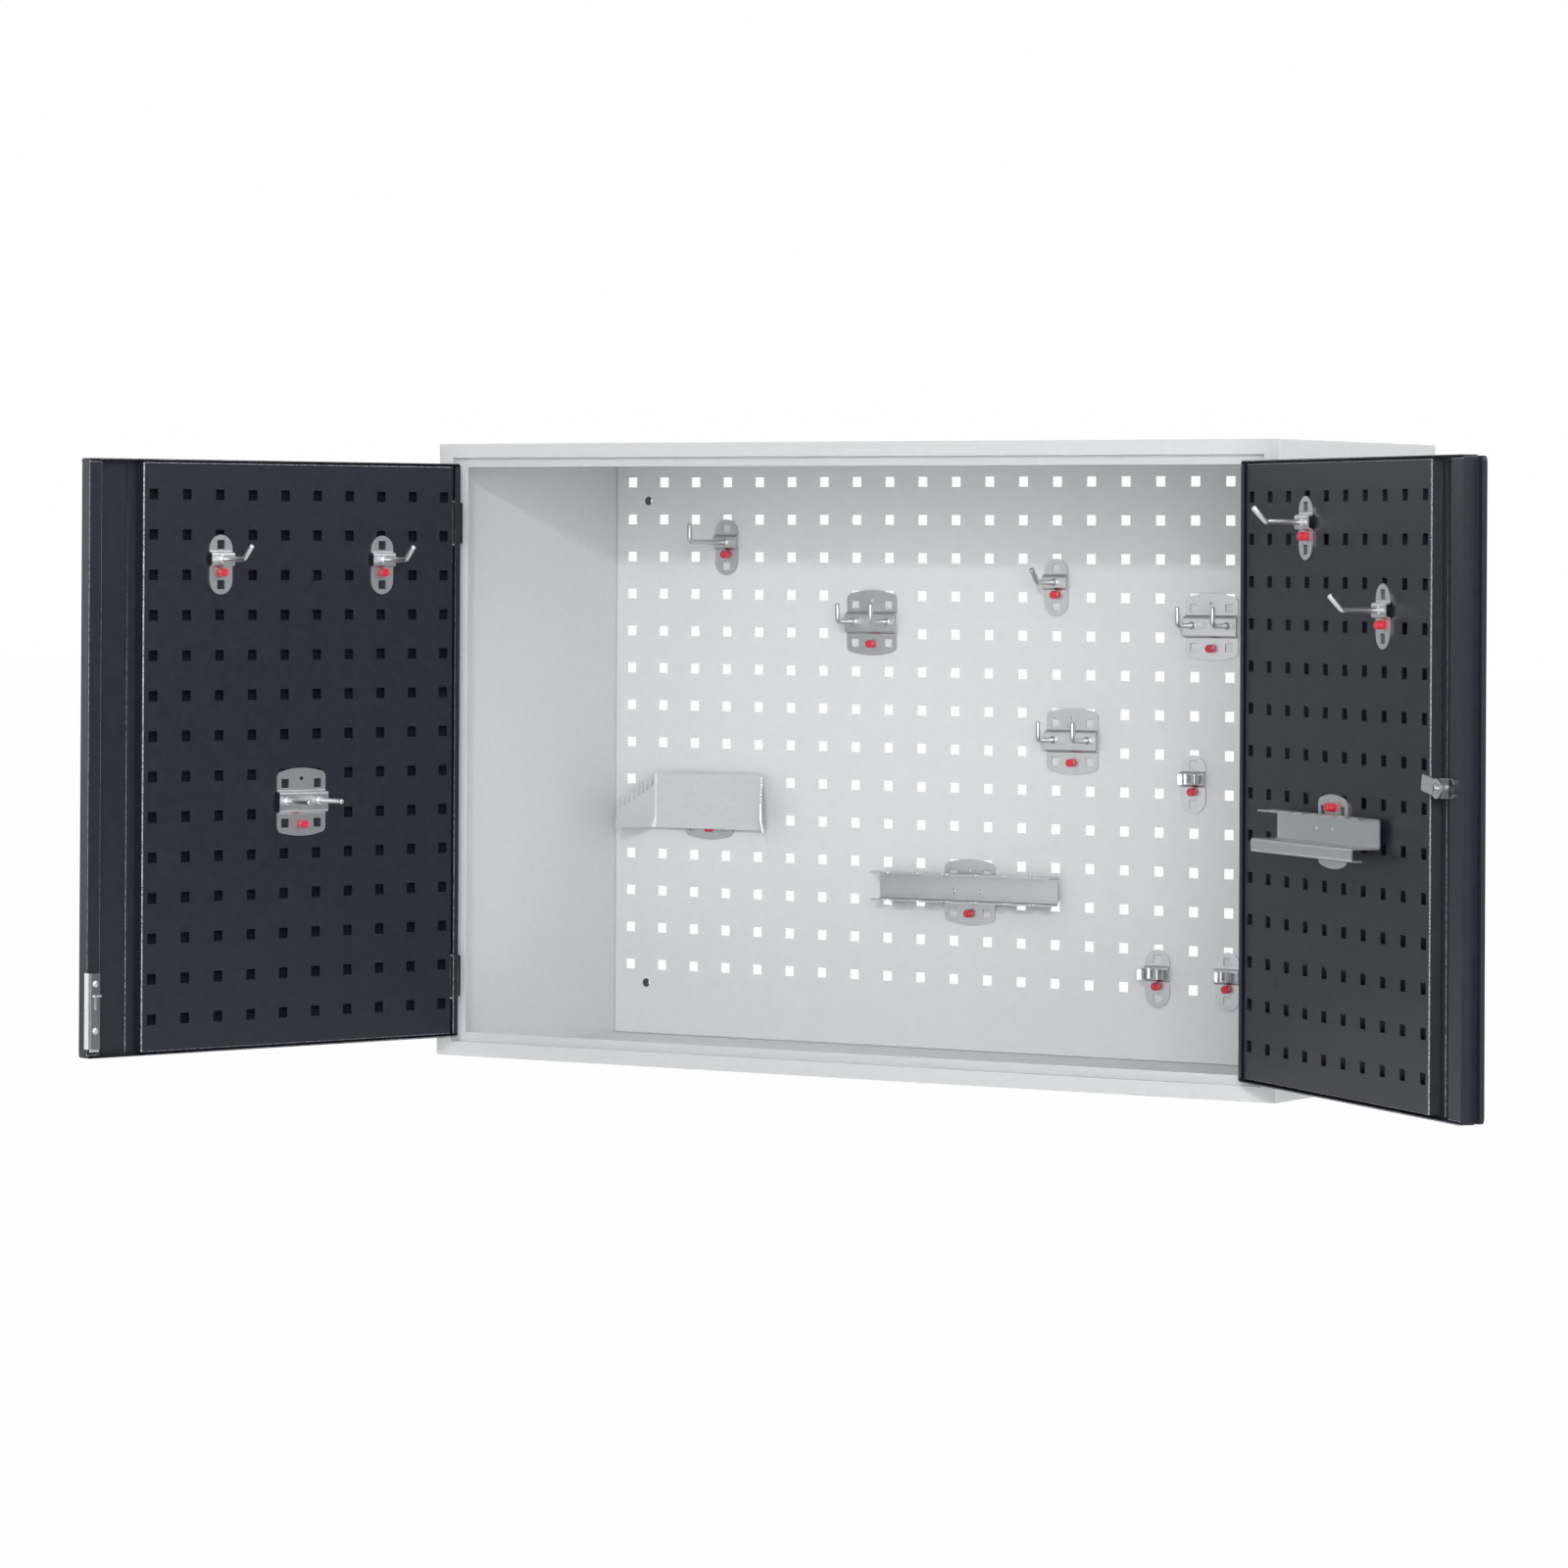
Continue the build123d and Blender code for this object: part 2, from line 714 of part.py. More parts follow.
with BuildSketch(Plane.XZ) as small_outline:
    Rectangle(small_width, small_height - small_width)
    with Locations((0, small_height / 2 - small_width / 2), (0, small_width / 2 - small_height / 2)):
        RegularPolygon(small_width / 2, plate_end_sides)

wide_side = wide_height / 2 - wide_bow_radius + (wide_bow_radius**2 - (wide_width / 2) ** 2) ** 0.5
with BuildSketch(Plane.XZ) as wide_outline:
    with BuildLine():
        RadiusArc((-wide_width / 2, wide_side), (wide_width / 2, wide_side), wide_bow_radius)
        Line((wide_width / 2, wide_side), (wide_width / 2, -wide_side))
        RadiusArc((wide_width / 2, -wide_side), (-wide_width / 2, -wide_side), wide_bow_radius)
        Line((-wide_width / 2, -wide_side), (-wide_width / 2, wide_side))
    make_face()
    fillet(wide_outline.vertices(), radius=wide_corner)

small_band = (small_band_height, small_band_rise, small_band_proud)
wide_band = (wide_band_height, 0, wide_band_proud)
small_pin = (0, small_drop - pitch + small_pin_rise)
small_plate = holder_plate(small_outline.sketch, small_height, small_drop, small_band, [0], small_pin)
wide_columns = [-pitch / 2, pitch / 2]
wide_plate = holder_plate(
    wide_outline.sketch,
    wide_height,
    wide_drop,
    wide_band,
    wide_columns,
    (0, -wide_pin_rise),
    (0, sight_hole_rise),
)
flipped_plate = holder_plate(
    wide_outline.sketch, wide_height, wide_drop, wide_band, wide_columns, (0, wide_pin_rise)
)


def lock_pin(place, length, reach):
    """Push-in locking pin: a head in front of the plate and a shank through it."""
    with BuildPart() as pin:
        with BuildSketch(Plane.XZ.offset(plate_front)):
            with Locations(place):
                RegularPolygon(lock_pin_radius, small_sides)
        extrude(amount=length)
        with BuildSketch(Plane.XZ.offset(plate_front)):
            with Locations(place):
                RegularPolygon(lock_pin_shank_radius, small_sides)
        extrude(amount=-reach)
    return pin.part


small_lock_pin = lock_pin(small_pin, lock_pin_length, plate_front + lock_pin_reach)
wide_lock_pin = lock_pin((0, -wide_pin_rise), lock_pin_length, plate_sheet)
flipped_lock_pin = lock_pin((0, wide_pin_rise), lock_pin_length, plate_sheet)
short_lock_pin = lock_pin((0, -wide_pin_rise), wide_band_proud - pin_front_gap, plate_sheet)

# ---------------------------------------------------------------- hooks


def rod_holder(plate, proud, rise, columns, reach, *tips):
    """A plate with rods standing out from its bulge, each going on to the given tips."""
    start = plate_front + proud
    with BuildPart() as holder:
        add(plate)
        for column in columns:
            with BuildLine() as path:
                points = [(column, -start, rise), (column, -reach, rise)]
                points += [(column, -out, rise + up) for out, up in tips]
                Polyline(*points)
            with BuildSketch(Plane(origin=(column, -start, rise), z_dir=(0, -1, 0))):
                RegularPolygon(rod_radius, small_sides)
            sweep(path=path.line, transition=Transition.RIGHT)
    return holder.part


long_tip = (long_hook_reach, long_hook_tip)
long_hook = rod_holder(small_plate, small_band_proud, small_band_rise, [0], long_hook_reach, long_tip)
tilted_tip = (tilted_hook_reach + tilted_hook_out, tilted_hook_up)
tilted_hook = rod_holder(
    small_plate, small_band_proud, small_band_rise, [0], tilted_hook_reach, tilted_tip
)
double_tip = (double_hook_reach, double_hook_tip)
double_hook = rod_holder(
    wide_plate, wide_band_proud, wide_rod_rise, wide_columns, double_hook_reach, double_tip
)
twin_rods = rod_holder(wide_plate, wide_band_proud, wide_rod_rise, wide_columns, straight_rod_reach)

save("long_hook", on_back(long_hook, 3, 1, small_drop))
save("tilted_hook", on_back(tilted_hook, 13, 2, small_drop))
double_places = [(7.5, 3), (17.5, 3), (13.5, 6)]
double_hooks = [on_back(double_hook, column, row, wide_drop) for column, row in double_places]
save("double_hooks", *double_hooks)
left_hooks = [on_door(tilted_hook, column, 1, small_drop) for column in (2, 7)]
save_left("left_door_hooks", *left_hooks)
save_left("left_door_twin_rods", on_door(twin_rods, 4.5, 7, wide_drop))
right_hooks = [on_door(tilted_hook, column, row, small_drop) for column, row in ((3, 0), (7, 2))]
save_right("right_door_hooks", *right_hooks)

# ---------------------------------------------------------------- spring clips

clip_start = plate_front + small_band_proud


def spring_clip(depth, half_width):
    """Open spring: two arms that swell round a tool handle and flare at the mouth."""
    arm = [
        (clip_mouth, 1),
        (clip_neck, clip_neck_place),
        (1, clip_belly_place),
        (clip_shoulder, clip_shoulder_place),
        (clip_base, 0),
    ]
    right_arm = [(half_width * across, -clip_start - depth * out) for across, out in arm]
    left_arm = [(-x, y) for x, y in reversed(right_arm)]
    with BuildPart() as clip:
        with BuildSketch(Plane.XY.offset(small_band_rise - clip_height / 2)):
            with BuildLine():
                Polyline(*right_arm, *left_arm)
                offset(amount=clip_sheet, side=Side.LEFT)
            make_face()
        extrude(amount=clip_height)
    return clip.part


with BuildPart() as clip_rivet:
    with BuildSketch(Plane.XZ.offset(clip_start + clip_sheet)):
        with Locations((0, small_band_rise)):
            RegularPolygon(clip_rivet_radius, small_sides)
    extrude(amount=clip_rivet_height)

clip_places = [(16, 12), (17, 7), (18, 12)]
clip_plates = [on_back(small_plate, column, row, small_drop) for column, row in clip_places]
clip_rivets = [on_back(clip_rivet.part, column, row, small_drop) for column, row in clip_places]
save("clip_plates", *clip_plates)
save("clip_rivets", *clip_rivets)
clip_names = ["large_spring_clip", "medium_spring_clip", "small_spring_clip"]
for name, depth, half_width, (column, row) in zip(clip_names, clip_depths, clip_half_widths, clip_places):
    save(name, on_back(spring_clip(depth, half_width), column, row, small_drop))

# ---------------------------------------------------------------- spanner holder

wide_seat = plate_front + wide_band_proud
spanner_low = spanner_rise - spanner_height / 2
spanner_top = spanner_rise + spanner_height / 2
cheek_forward = Vector(0, -1, 0).rotate(Axis.Z, -cheek_angle)
cheek_inward = Vector(0, 0, 1).cross(cheek_forward)
cheek_corner = (-spanner_width / 2, -wide_seat, 0)
hem_out = cheek_hem_height * cheek_hem_slope

with BuildPart() as spanner_rack:
    with BuildSketch(Plane(origin=cheek_corner, x_dir=cheek_inward, z_dir=cheek_forward)):
        with BuildLine():
            Polyline((0, spanner_top), (0, spanner_low + cheek_hem_height), (-hem_out, spanner_low))
            offset(amount=spanner_sheet, side=Side.LEFT)
        make_face()
    extrude(amount=cheek_length)
    with BuildSketch(Plane(origin=cheek_corner, x_dir=cheek_forward, z_dir=-cheek_inward)):
        with BuildLine():
            Polyline(
                (0, spanner_top),
                (cheek_length, spanner_top),
                (cheek_length, spanner_top - cheek_drop),
                close=True,
            )
        make_face()
        for index in range(cheek_slots):
            along = cheek_length / 2 + (index - (cheek_slots - 1) / 2) * cheek_slot_spacing
            edge = spanner_top - cheek_drop * along / cheek_length
            with Locations((along, edge)):
                Rectangle(cheek_slot_width, 2 * cheek_slot_depth)
    extrude(amount=2 * spanner_sheet, both=True, mode=Mode.SUBTRACT)
    mirror(about=Plane.YZ)
    with BuildSketch(Plane.XZ.offset(wide_seat)):
        with Locations((0, spanner_rise)):
            Rectangle(spanner_width, spanner_height)
    extrude(amount=spanner_sheet)
save("spanner_plate", on_back(wide_plate, 2.5, 8, wide_drop))
shifted_rack = spanner_rack.part.moved(Location((spanner_shift, 0, 0)))
save("spanner_rack", on_back(shifted_rack, 2.5, 8, wide_drop))

# ---------------------------------------------------------------- tool rails

with BuildPart() as back_rail:
    with BuildSketch(Plane.YZ.offset(back_rail_shift - back_rail_length / 2)):
        with BuildLine():
            Polyline(
                (-wide_seat - back_rail_reach, back_rail_rise + back_rail_height / 2),
                (-wide_seat, back_rail_rise + back_rail_height / 2),
                (-wide_seat, back_rail_rise - back_rail_height / 2),
                (-wide_seat - back_rail_reach, back_rail_rise - back_rail_height / 2),
            )
            offset(amount=rail_sheet, side=Side.RIGHT)
        make_face()
    extrude(amount=back_rail_length)
    with BuildSketch(Plane.XY.offset(back_rail_rise - back_rail_height / 2)):
        with Locations((back_rail_shift, -wide_seat - back_rail_reach)):
            with GridLocations(back_rail_spacing, pitch, back_rail_notches, 1):
                Rectangle(notch_width, 2 * notch_depth)
    extrude(amount=back_rail_height, mode=Mode.SUBTRACT)
save("back_rail_plate", on_back(wide_plate, 10.5, 10, wide_drop))
save("back_rail", on_back(back_rail.part, 10.5, 10, wide_drop))

door_rail_top = door_rail_rise + door_rail_height / 2
door_rail_bottom = door_rail_rise - door_rail_height / 2
door_rail_front = -wide_seat - door_rail_bottom_reach

with BuildPart() as door_rail:
    with BuildSketch(Plane.YZ.offset(door_rail_shift - door_rail_length / 2)):
        with BuildLine():
            Polyline(
                (-wide_seat - door_rail_top_reach, door_rail_top),
                (-wide_seat, door_rail_top),
                (-wide_seat, door_rail_bottom),
                (door_rail_front, door_rail_bottom),
                (door_rail_front, door_rail_bottom - door_rail_lip),
                (door_rail_front + door_rail_return, door_rail_bottom - door_rail_lip),
            )
            offset(amount=rail_sheet, side=Side.RIGHT)
        make_face()
    extrude(amount=door_rail_length)
    with BuildSketch(Plane.XY.offset(door_rail_rise)):
        with Locations((door_rail_shift, -wide_seat - door_rail_top_reach)):
            with GridLocations(door_rail_spacing, pitch, door_rail_notches, 1):
                Rectangle(notch_width, 2 * notch_depth)
    extrude(amount=door_rail_height, mode=Mode.SUBTRACT)
save_right("right_rail_plate", on_door(flipped_plate, 4.5, 7, wide_drop))
save_right("right_rail", on_door(door_rail.part, 4.5, 7, wide_drop))

# ---------------------------------------------------------------- locking pins of each body

small_places = [(3, 1), (13, 2)] + clip_places
back_pins = [on_back(small_lock_pin, column, row, small_drop) for column, row in small_places]
wide_places = double_places + [(10.5, 10)]
back_pins += [on_back(wide_lock_pin, column, row, wide_drop) for column, row in wide_places]
back_pins.append(on_back(short_lock_pin, 2.5, 8, wide_drop))
save("back_locking_pins", *back_pins)
left_pins = [on_door(small_lock_pin, column, 1, small_drop) for column in (2, 7)]
left_pins.append(on_door(wide_lock_pin, 4.5, 7, wide_drop))
save_left("left_door_locking_pins", *left_pins)
right_pins = [on_door(small_lock_pin, column, row, small_drop) for column, row in ((3, 0), (7, 2))]
right_pins.append(on_door(flipped_lock_pin, 4.5, 7, wide_drop))
save_right("right_door_locking_pins", *right_pins)
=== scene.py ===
# %% [markdown]
# # A wall-hung tool cabinet
# A folded steel box with a perforated back, two hollow doors that stand open, and tool holders
# plugged into square holes. The structure comes in as a fixed frame: every sheet, hinge and joint
# already has its real place and size. This script gives it edges, finishes, light and a camera,
# and works the small pressed and bent pieces out again as smooth surfaces.

# %% Load the frame
import json

import bmesh
import bpy
import numpy as np
from mathutils import Matrix, Vector


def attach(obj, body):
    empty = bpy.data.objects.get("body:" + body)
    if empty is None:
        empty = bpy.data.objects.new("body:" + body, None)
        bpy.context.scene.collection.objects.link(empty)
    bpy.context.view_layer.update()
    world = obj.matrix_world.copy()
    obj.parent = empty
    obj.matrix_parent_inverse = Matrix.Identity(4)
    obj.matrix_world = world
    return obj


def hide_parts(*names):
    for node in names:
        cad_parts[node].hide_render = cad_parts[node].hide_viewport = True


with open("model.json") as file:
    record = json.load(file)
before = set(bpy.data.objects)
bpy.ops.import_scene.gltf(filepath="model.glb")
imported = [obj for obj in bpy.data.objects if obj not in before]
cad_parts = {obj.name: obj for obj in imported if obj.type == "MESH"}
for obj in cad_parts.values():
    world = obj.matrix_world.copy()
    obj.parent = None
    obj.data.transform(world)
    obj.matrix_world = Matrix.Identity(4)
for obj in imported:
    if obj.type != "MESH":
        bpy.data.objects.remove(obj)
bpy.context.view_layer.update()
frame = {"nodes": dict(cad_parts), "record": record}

BODIES = frame["record"]["behaviour"]["bodies"]
BODY_OF = {node: body for body, nodes in BODIES.items() for node in nodes}
SLOT_OF = {part["node"]: part["material_slot"] for part in frame["record"]["subparts"]}
MM = 0.001

# %% [markdown]
# ## Colour and nodes
# Colours are given as screen values, and the renderer works in linear light, so one
# function turns a hex code into linear numbers. Another adds a node to a material with its
# settings and its inputs, so that a finish reads as a short recipe.

# %% Helpers for materials
def linear(code):
    """Linear RGBA of an sRGB hex code: below 0.04045 a twelfth, above it a 2.4 power."""
    value = np.array([int(code[i:i + 2], 16) for i in (1, 3, 5)]) / 255
    value = np.where(value <= 0.04045, value / 12.92, ((value + 0.055) / 1.055) ** 2.4)
    return (*value.tolist(), 1.0)


def add(tree, kind, inputs=(), **settings):
    """Add a node; inputs are (name or number, value or output socket) pairs."""
    node = tree.nodes.new(kind)
    for name, value in settings.items():
        setattr(node, name, value)
    for name, value in inputs:
        if isinstance(value, bpy.types.NodeSocket):
            tree.links.new(value, node.inputs[name])
        else:
            node.inputs[name].default_value = value
    return node


def new_material(name, **values):
    """A material with one surface shader, whose plain values are set on its own sockets."""
    material = bpy.data.materials.new(name)
    material.use_nodes = True
    shader = material.node_tree.nodes["Principled BSDF"]
    for socket, value in values.items():
        shader.inputs[socket.replace("_", " ")].default_value = value
    return material, material.node_tree, shader


def grain(tree, size_mm, detail=2.0, stretch=(1, 1, 1)):
    """Noise whose grains are about size_mm wide, on object coordinates, drawn out by stretch."""
    place = add(tree, "ShaderNodeTexCoord")
    inputs = [("Vector", place.outputs["Object"]), ("Scale", stretch)]
    turned = add(tree, "ShaderNodeMapping", inputs)
    scale = 1 / (size_mm * MM)
    noise = [("Vector", turned.outputs["Vector"]), ("Scale", scale), ("Detail", detail)]
    return add(tree, "ShaderNodeTexNoise", noise).outputs["Fac"]


def ramp(tree, value, low, high, start=0.3, end=0.7):
    """Colours or greys between low and high as value goes from start to end."""
    node = add(tree, "ShaderNodeValToRGB", [("Fac", value)])
    for element, place, colour in zip(node.color_ramp.elements, (start, end), (low, high)):
        element.position = place
        element.color = colour if isinstance(colour, tuple) else (colour, colour, colour, 1)
    return node.outputs["Color"]


def bump(tree, shader, height, depth_mm, strength=1.0):
    """Tilt the surface as if height were relief of depth_mm."""
    inputs = [("Height", height), ("Distance", depth_mm * MM), ("Strength", strength)]
    tree.links.new(add(tree, "ShaderNodeBump", inputs).outputs["Normal"], shader.inputs["Normal"])


# %% [markdown]
# ## Powder coat
# The sheet steel is sprayed with dry powder and baked. The melt levels into a fine ripple, called
# orange peel, with waves about 2 mm apart and a few hundredths of a millimetre deep. On outside
# bends the coat is pulled thin and the edge glints. Each bend gets a paler copy of its coat as a
# painted highlight; on the dark paint its pale flecks also stand for the thin coat.

# %% Powder coat materials
PEEL_MM, PEEL_DEPTH_MM, MOTTLE_MM = 2.0, 0.012, 9.0


def powder_coat(name, colour, lighter, roughness, specular=0.5):
    """Baked powder coat: a faint mottle between two shades, orange peel and a steady half gloss."""
    gloss = {"Roughness": roughness, "IOR": 1.5, "Specular_IOR_Level": specular}
    material, tree, shader = new_material(name, **gloss)
    mottle = ramp(tree, grain(tree, MOTTLE_MM), linear(colour), linear(lighter))
    tree.links.new(mottle, shader.inputs["Base Color"])
    bump(tree, shader, grain(tree, PEEL_MM), PEEL_DEPTH_MM)
    return material


# Light grey epoxy-polyester powder: pale and even, with a soft wide sheen.
light_coat = powder_coat("light_grey_powder_coat", "#D3D5D6", "#D6D8D9", 0.42)
# The same coat on a bend, painted a shade paler as a highlight, so that a fold reads as a thin
# line.
light_bend_painted_highlight = powder_coat("light_grey_powder_coat_bend_painted_highlight", "#DEE0E1", "#E4E6E7", 0.34)
# Anthracite powder: nearly black with a blue cast, and a low sheen that keeps it dark.
dark_coat = powder_coat("anthracite_powder_coat", "#1F212C", "#242632", 0.4, 0.3)


def thin_coat_painted_glint(name, colour, glint):
    """Coat pulled thin over a sharp bend: uneven bright flecks on the ground colour, partly a
    painted glint.
    """
    material, tree, shader = new_material(name, Roughness=0.32, IOR=1.5)
    flecks = ramp(tree, grain(tree, 1.6, 3.0), linear(colour), linear(glint), 0.38, 0.62)
    tree.links.new(flecks, shader.inputs["Base Color"])
    bump(tree, shader, grain(tree, 1.0), 0.01)
    return material


# Anthracite on its bends: the flecks run together into a pale broken line, partly the thin coat and
# partly a painted glint.
dark_bend_painted_glint = thin_coat_painted_glint("anthracite_powder_coat_bend_painted_glint", "#4E515C", "#C4C7CD")
print("powder coats", light_coat.name, light_bend_painted_highlight.name, dark_coat.name, dark_bend_painted_glint.name)

# %% [markdown]
# ## Plated and bare metal, plastics
# The holders are punched from steel strip and bright zinc plated: a bluish silver with a soft
# sheen, faintly streaked along the rolling direction. A paler, half-metal copy of the zinc paints
# brighter light where the plate catches it, and a greyer copy paints shade. Nickel plate is
# nearly a mirror. Metals keep the default IOR, because their colour comes from the base colour
# alone. Real streaks are a tenth of a millimetre wide; here they are 1.5 mm, so that they show.

# %% Metal and plastic materials
STREAK_MM = 1.5


def plated_steel(name, colour, lighter, roughness, metallic=1.0):
    """Rolled strip under bright plating: long faint streaks in shade and in gloss."""
    material, tree, shader = new_material(name, Metallic=metallic)
    streaks = grain(tree, STREAK_MM, 2.0, stretch=(0.2, 1, 1))
    shade = ramp(tree, streaks, linear(colour), linear(lighter))
    tree.links.new(shade, shader.inputs["Base Color"])
    gloss = ramp(tree, streaks, roughness * 0.9, roughness * 1.1)
    tree.links.new(gloss, shader.inputs["Roughness"])
    return material


def moulded_plastic(name, colour, lighter, roughness):
    """Injection-moulded plastic: even colour and the fine eroded texture of its mould."""
    material, tree, shader = new_material(name, Roughness=roughness, IOR=1.49)
    shade = ramp(tree, grain(tree, 3.0), linear(colour), linear(lighter))
    tree.links.new(shade, shader.inputs["Base Color"])
    bump(tree, shader, grain(tree, 0.5), 0.006)
    return material


# Bright zinc plate: bluish silver that mirrors its surroundings softly.
zinc = plated_steel("bright_zinc_plated_steel", "#C4C6C8", "#CCCED0", 0.36)
# Zinc plate made paler and half metal: painted light on the rack's cheeks and the bolt flange.
pale_zinc_painted_light = plated_steel("zinc_plated_sheet_painted_light", "#CFD1D3", "#D6D8DA", 0.45, 0.45)
# Tempered strip: crisp dark and light bands round the curled arms.
spring = plated_steel("bright_spring_steel", "#C2C4C6", "#CFD1D3", 0.3)
# Nickel on a casting: a sharper mirror than zinc, its colour set darker as painted shade on the
# lock.
nickel_painted_shade = plated_steel("nickel_plated_casting_painted_shade", "#8E8E92", "#9C9CA0", 0.16)
# Zinc plate turned grey: painted shade on the lock barrel and the bolt cover, so that rivets and
# slots stand out on it.
grey_zinc_painted_shade = plated_steel("zinc_plated_steel_painted_shade", "#77797D", "#83858A", 0.3)
# Glossy nylon: a strong red with a small highlight on each head.
red = moulded_plastic("red_nylon", "#D02638", "#DA3042", 0.24)
# Filled nylon: dull dark grey.
bush = moulded_plastic("dark_grey_nylon", "#2A2B2D", "#333436", 0.5)
# Satin powder coat: nearly black, as dark as the gaps beside the hinges.
hinge_coat = powder_coat("dark_powder_coated_hinge", "#25272E", "#2B2D35", 0.4)
FINISH = {
    "body_paint": light_coat,
    "door_paint": dark_coat,
    "zinc": zinc,
    "spring_steel": spring,
    "lock_chrome": nickel_painted_shade,
    "red_plastic": red,
    "hinge_paint": hinge_coat,
    "spacer_plastic": bush,
}
for node, item in frame["nodes"].items():
    item.data.materials.clear()
    item.data.materials.append(FINISH[SLOT_OF[node]])
print("finishes", sorted(FINISH))

# %% [markdown]
# ## Folded sheet with real bends
# A press brake leaves a small radius on every fold, and a punched hole keeps a fine burred rim.
# A sharp corner never catches the light, so each sheet form is copied from the frame, its loose
# triangles are joined at their corners, and a Bevel modifier rounds the edges. Flat faces stay
# triangles, because one face can't have a hole in it. The new faces on the bends get a second
# material, a paler coat that paints a highlight along the bend. Edges under a given length stay
# sharp, which leaves out the holes of the dark sheets.

# %% Rounded copies of the sheet forms
SMALLEST_FOLD = np.radians(30)
SHEET_EDGE_MM, SHORTEST_MM, JOIN_MM = 1.3, 1.3, 0.01
# The way out over the free edge of the open right door. Its outer corners stay dark and sharp, with
# no painted highlight.
FREE_EDGE = Vector((0.785, -0.620, 0.0))
SAME_WAY = 0.95


def placed(name, data):
    """A new object for a mesh, a lamp or a camera, linked to the scene."""
    item = bpy.data.objects.new(name, data)
    bpy.context.scene.collection.objects.link(item)
    return item


def bend_weight(edge, radius_mm, rim_mm, shortest_mm, sharp):
    """1 on an outer fold between two broad faces, rim_mm / radius_mm on the rim of a sheet.

    It is 0 on inner corners, on short edges and round faces that look the way of sharp.
    """
    length = edge.calc_length()
    if len(edge.link_faces) != 2 or edge.calc_face_angle_signed(0) < SMALLEST_FOLD:
        return 0.0
    if length < shortest_mm * MM or any(f.normal.dot(sharp) > SAME_WAY for f in edge.link_faces):
        return 0.0
    narrow = min(2 * face.calc_area() / length for face in edge.link_faces)
    weight = 1.0 if narrow > SHEET_EDGE_MM * MM else rim_mm / radius_mm
    return min(weight, length / (3 * radius_mm * MM))


def folded_copy(
    node, radius_mm, rim_mm, coat, bend_coat, steps=2, shortest_mm=SHORTEST_MM, sharp=Vector()
):
    """Copy of a node with rounded folds and rims, but none round a face that looks to sharp."""
    mesh = frame["nodes"][node].data.copy()
    shape = bmesh.new()
    shape.from_mesh(mesh)
    bmesh.ops.remove_doubles(shape, verts=shape.verts, dist=JOIN_MM * MM)
    weight = shape.edges.layers.float.new("bevel_weight_edge")
    for edge in shape.edges:
        edge[weight] = bend_weight(edge, radius_mm, rim_mm, shortest_mm, sharp)
    shape.to_mesh(mesh)
    shape.free()
    mesh.materials.clear()
    mesh.materials.append(coat)
    mesh.materials.append(bend_coat)
    mesh.shade_flat()
    item = placed(node + "_folded", mesh)
    bends = item.modifiers.new("bends", "BEVEL")
    bends.width = radius_mm * MM
    bends.segments = steps
    bends.limit_method = "WEIGHT"
    bends.use_clamp_overlap = False
    bends.material = 1
    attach(item, BODY_OF[node])
    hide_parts(node)
    return item


folded = [
    folded_copy("cabinet_shell", 0.9, 0.3, light_coat, light_bend_painted_highlight),
    folded_copy("back_panel", 0.9, 0.25, light_coat, light_bend_painted_highlight, 1),
    folded_copy("left_door_skin", 1.2, 0.45, dark_coat, dark_bend_painted_glint, 2, 12.0),
    folded_copy("right_door_skin", 1.2, 0.45, dark_coat, dark_bend_painted_glint, 2, 12.0, FREE_EDGE),
    folded_copy("left_door_panel", 0.8, 0.45, dark_coat, dark_bend_painted_glint, 1, 20.0),
    folded_copy("right_door_panel", 0.8, 0.45, dark_coat, dark_bend_painted_glint, 1, 20.0),
    folded_copy("right_door_strip", 0.8, 0.8, dark_coat, dark_coat),
    folded_copy("lock_plug", 0.2, 0.2, nickel_painted_shade, nickel_painted_shade),
    folded_copy("sliding_bolt", 0.3, 0.3, zinc, zinc),
]
print("folded", [item.name for item in folded])

# %% [markdown]
# ## Small pieces as surfaces
# The holders are punched and bent strip, and the rods are bent wire. Each piece starts from the
# same idea: a grid of numbers is turned into a grid of points by a formula. A wire carries a
# circle along a bent line, and a turned piece spins a profile round an axis. Shapes are kept as
# arrays of millimetre points and four-cornered faces until the last step, so that they can be
# copied, moved and joined first.

# %% Grids, tubes and turned shapes
def grid_faces(rows, columns, wrap=False):
    """Four-cornered faces between the points of a grid; wrap joins its last column to its first."""
    across = np.arange(columns if wrap else columns - 1)
    row, column = np.meshgrid(np.arange(rows - 1), across, indexing="ij")
    after = (column + 1) % columns
    here, below = row * columns, (row + 1) * columns
    corners = (here + column, here + after, below + after, below + column)
    return np.stack([corner.ravel() for corner in corners], axis=1)


def joined(*shapes):
    """Several shapes as one: points stacked, and face numbers raised past the points before."""
    counts = np.cumsum([0] + [len(points) for points, faces in shapes[:-1]])
    raised = [faces + count for (points, faces), count in zip(shapes, counts)]
    return np.vstack([points for points, faces in shapes]), np.vstack(raised)


def turned(profile, sides=40):
    """Piece turned round the Y axis from rows of (radius, y); a radius of 0 closes a pole."""
    radius, along = np.array(profile, float).T
    angle = np.linspace(0, 2 * np.pi, sides, endpoint=False)
    x = radius[:, None] * np.cos(angle)
    z = radius[:, None] * np.sin(angle)
    points = np.stack([x, np.broadcast_to(along[:, None], x.shape), z], axis=-1).reshape(-1, 3)
    return points, grid_faces(len(radius), sides, wrap=True)


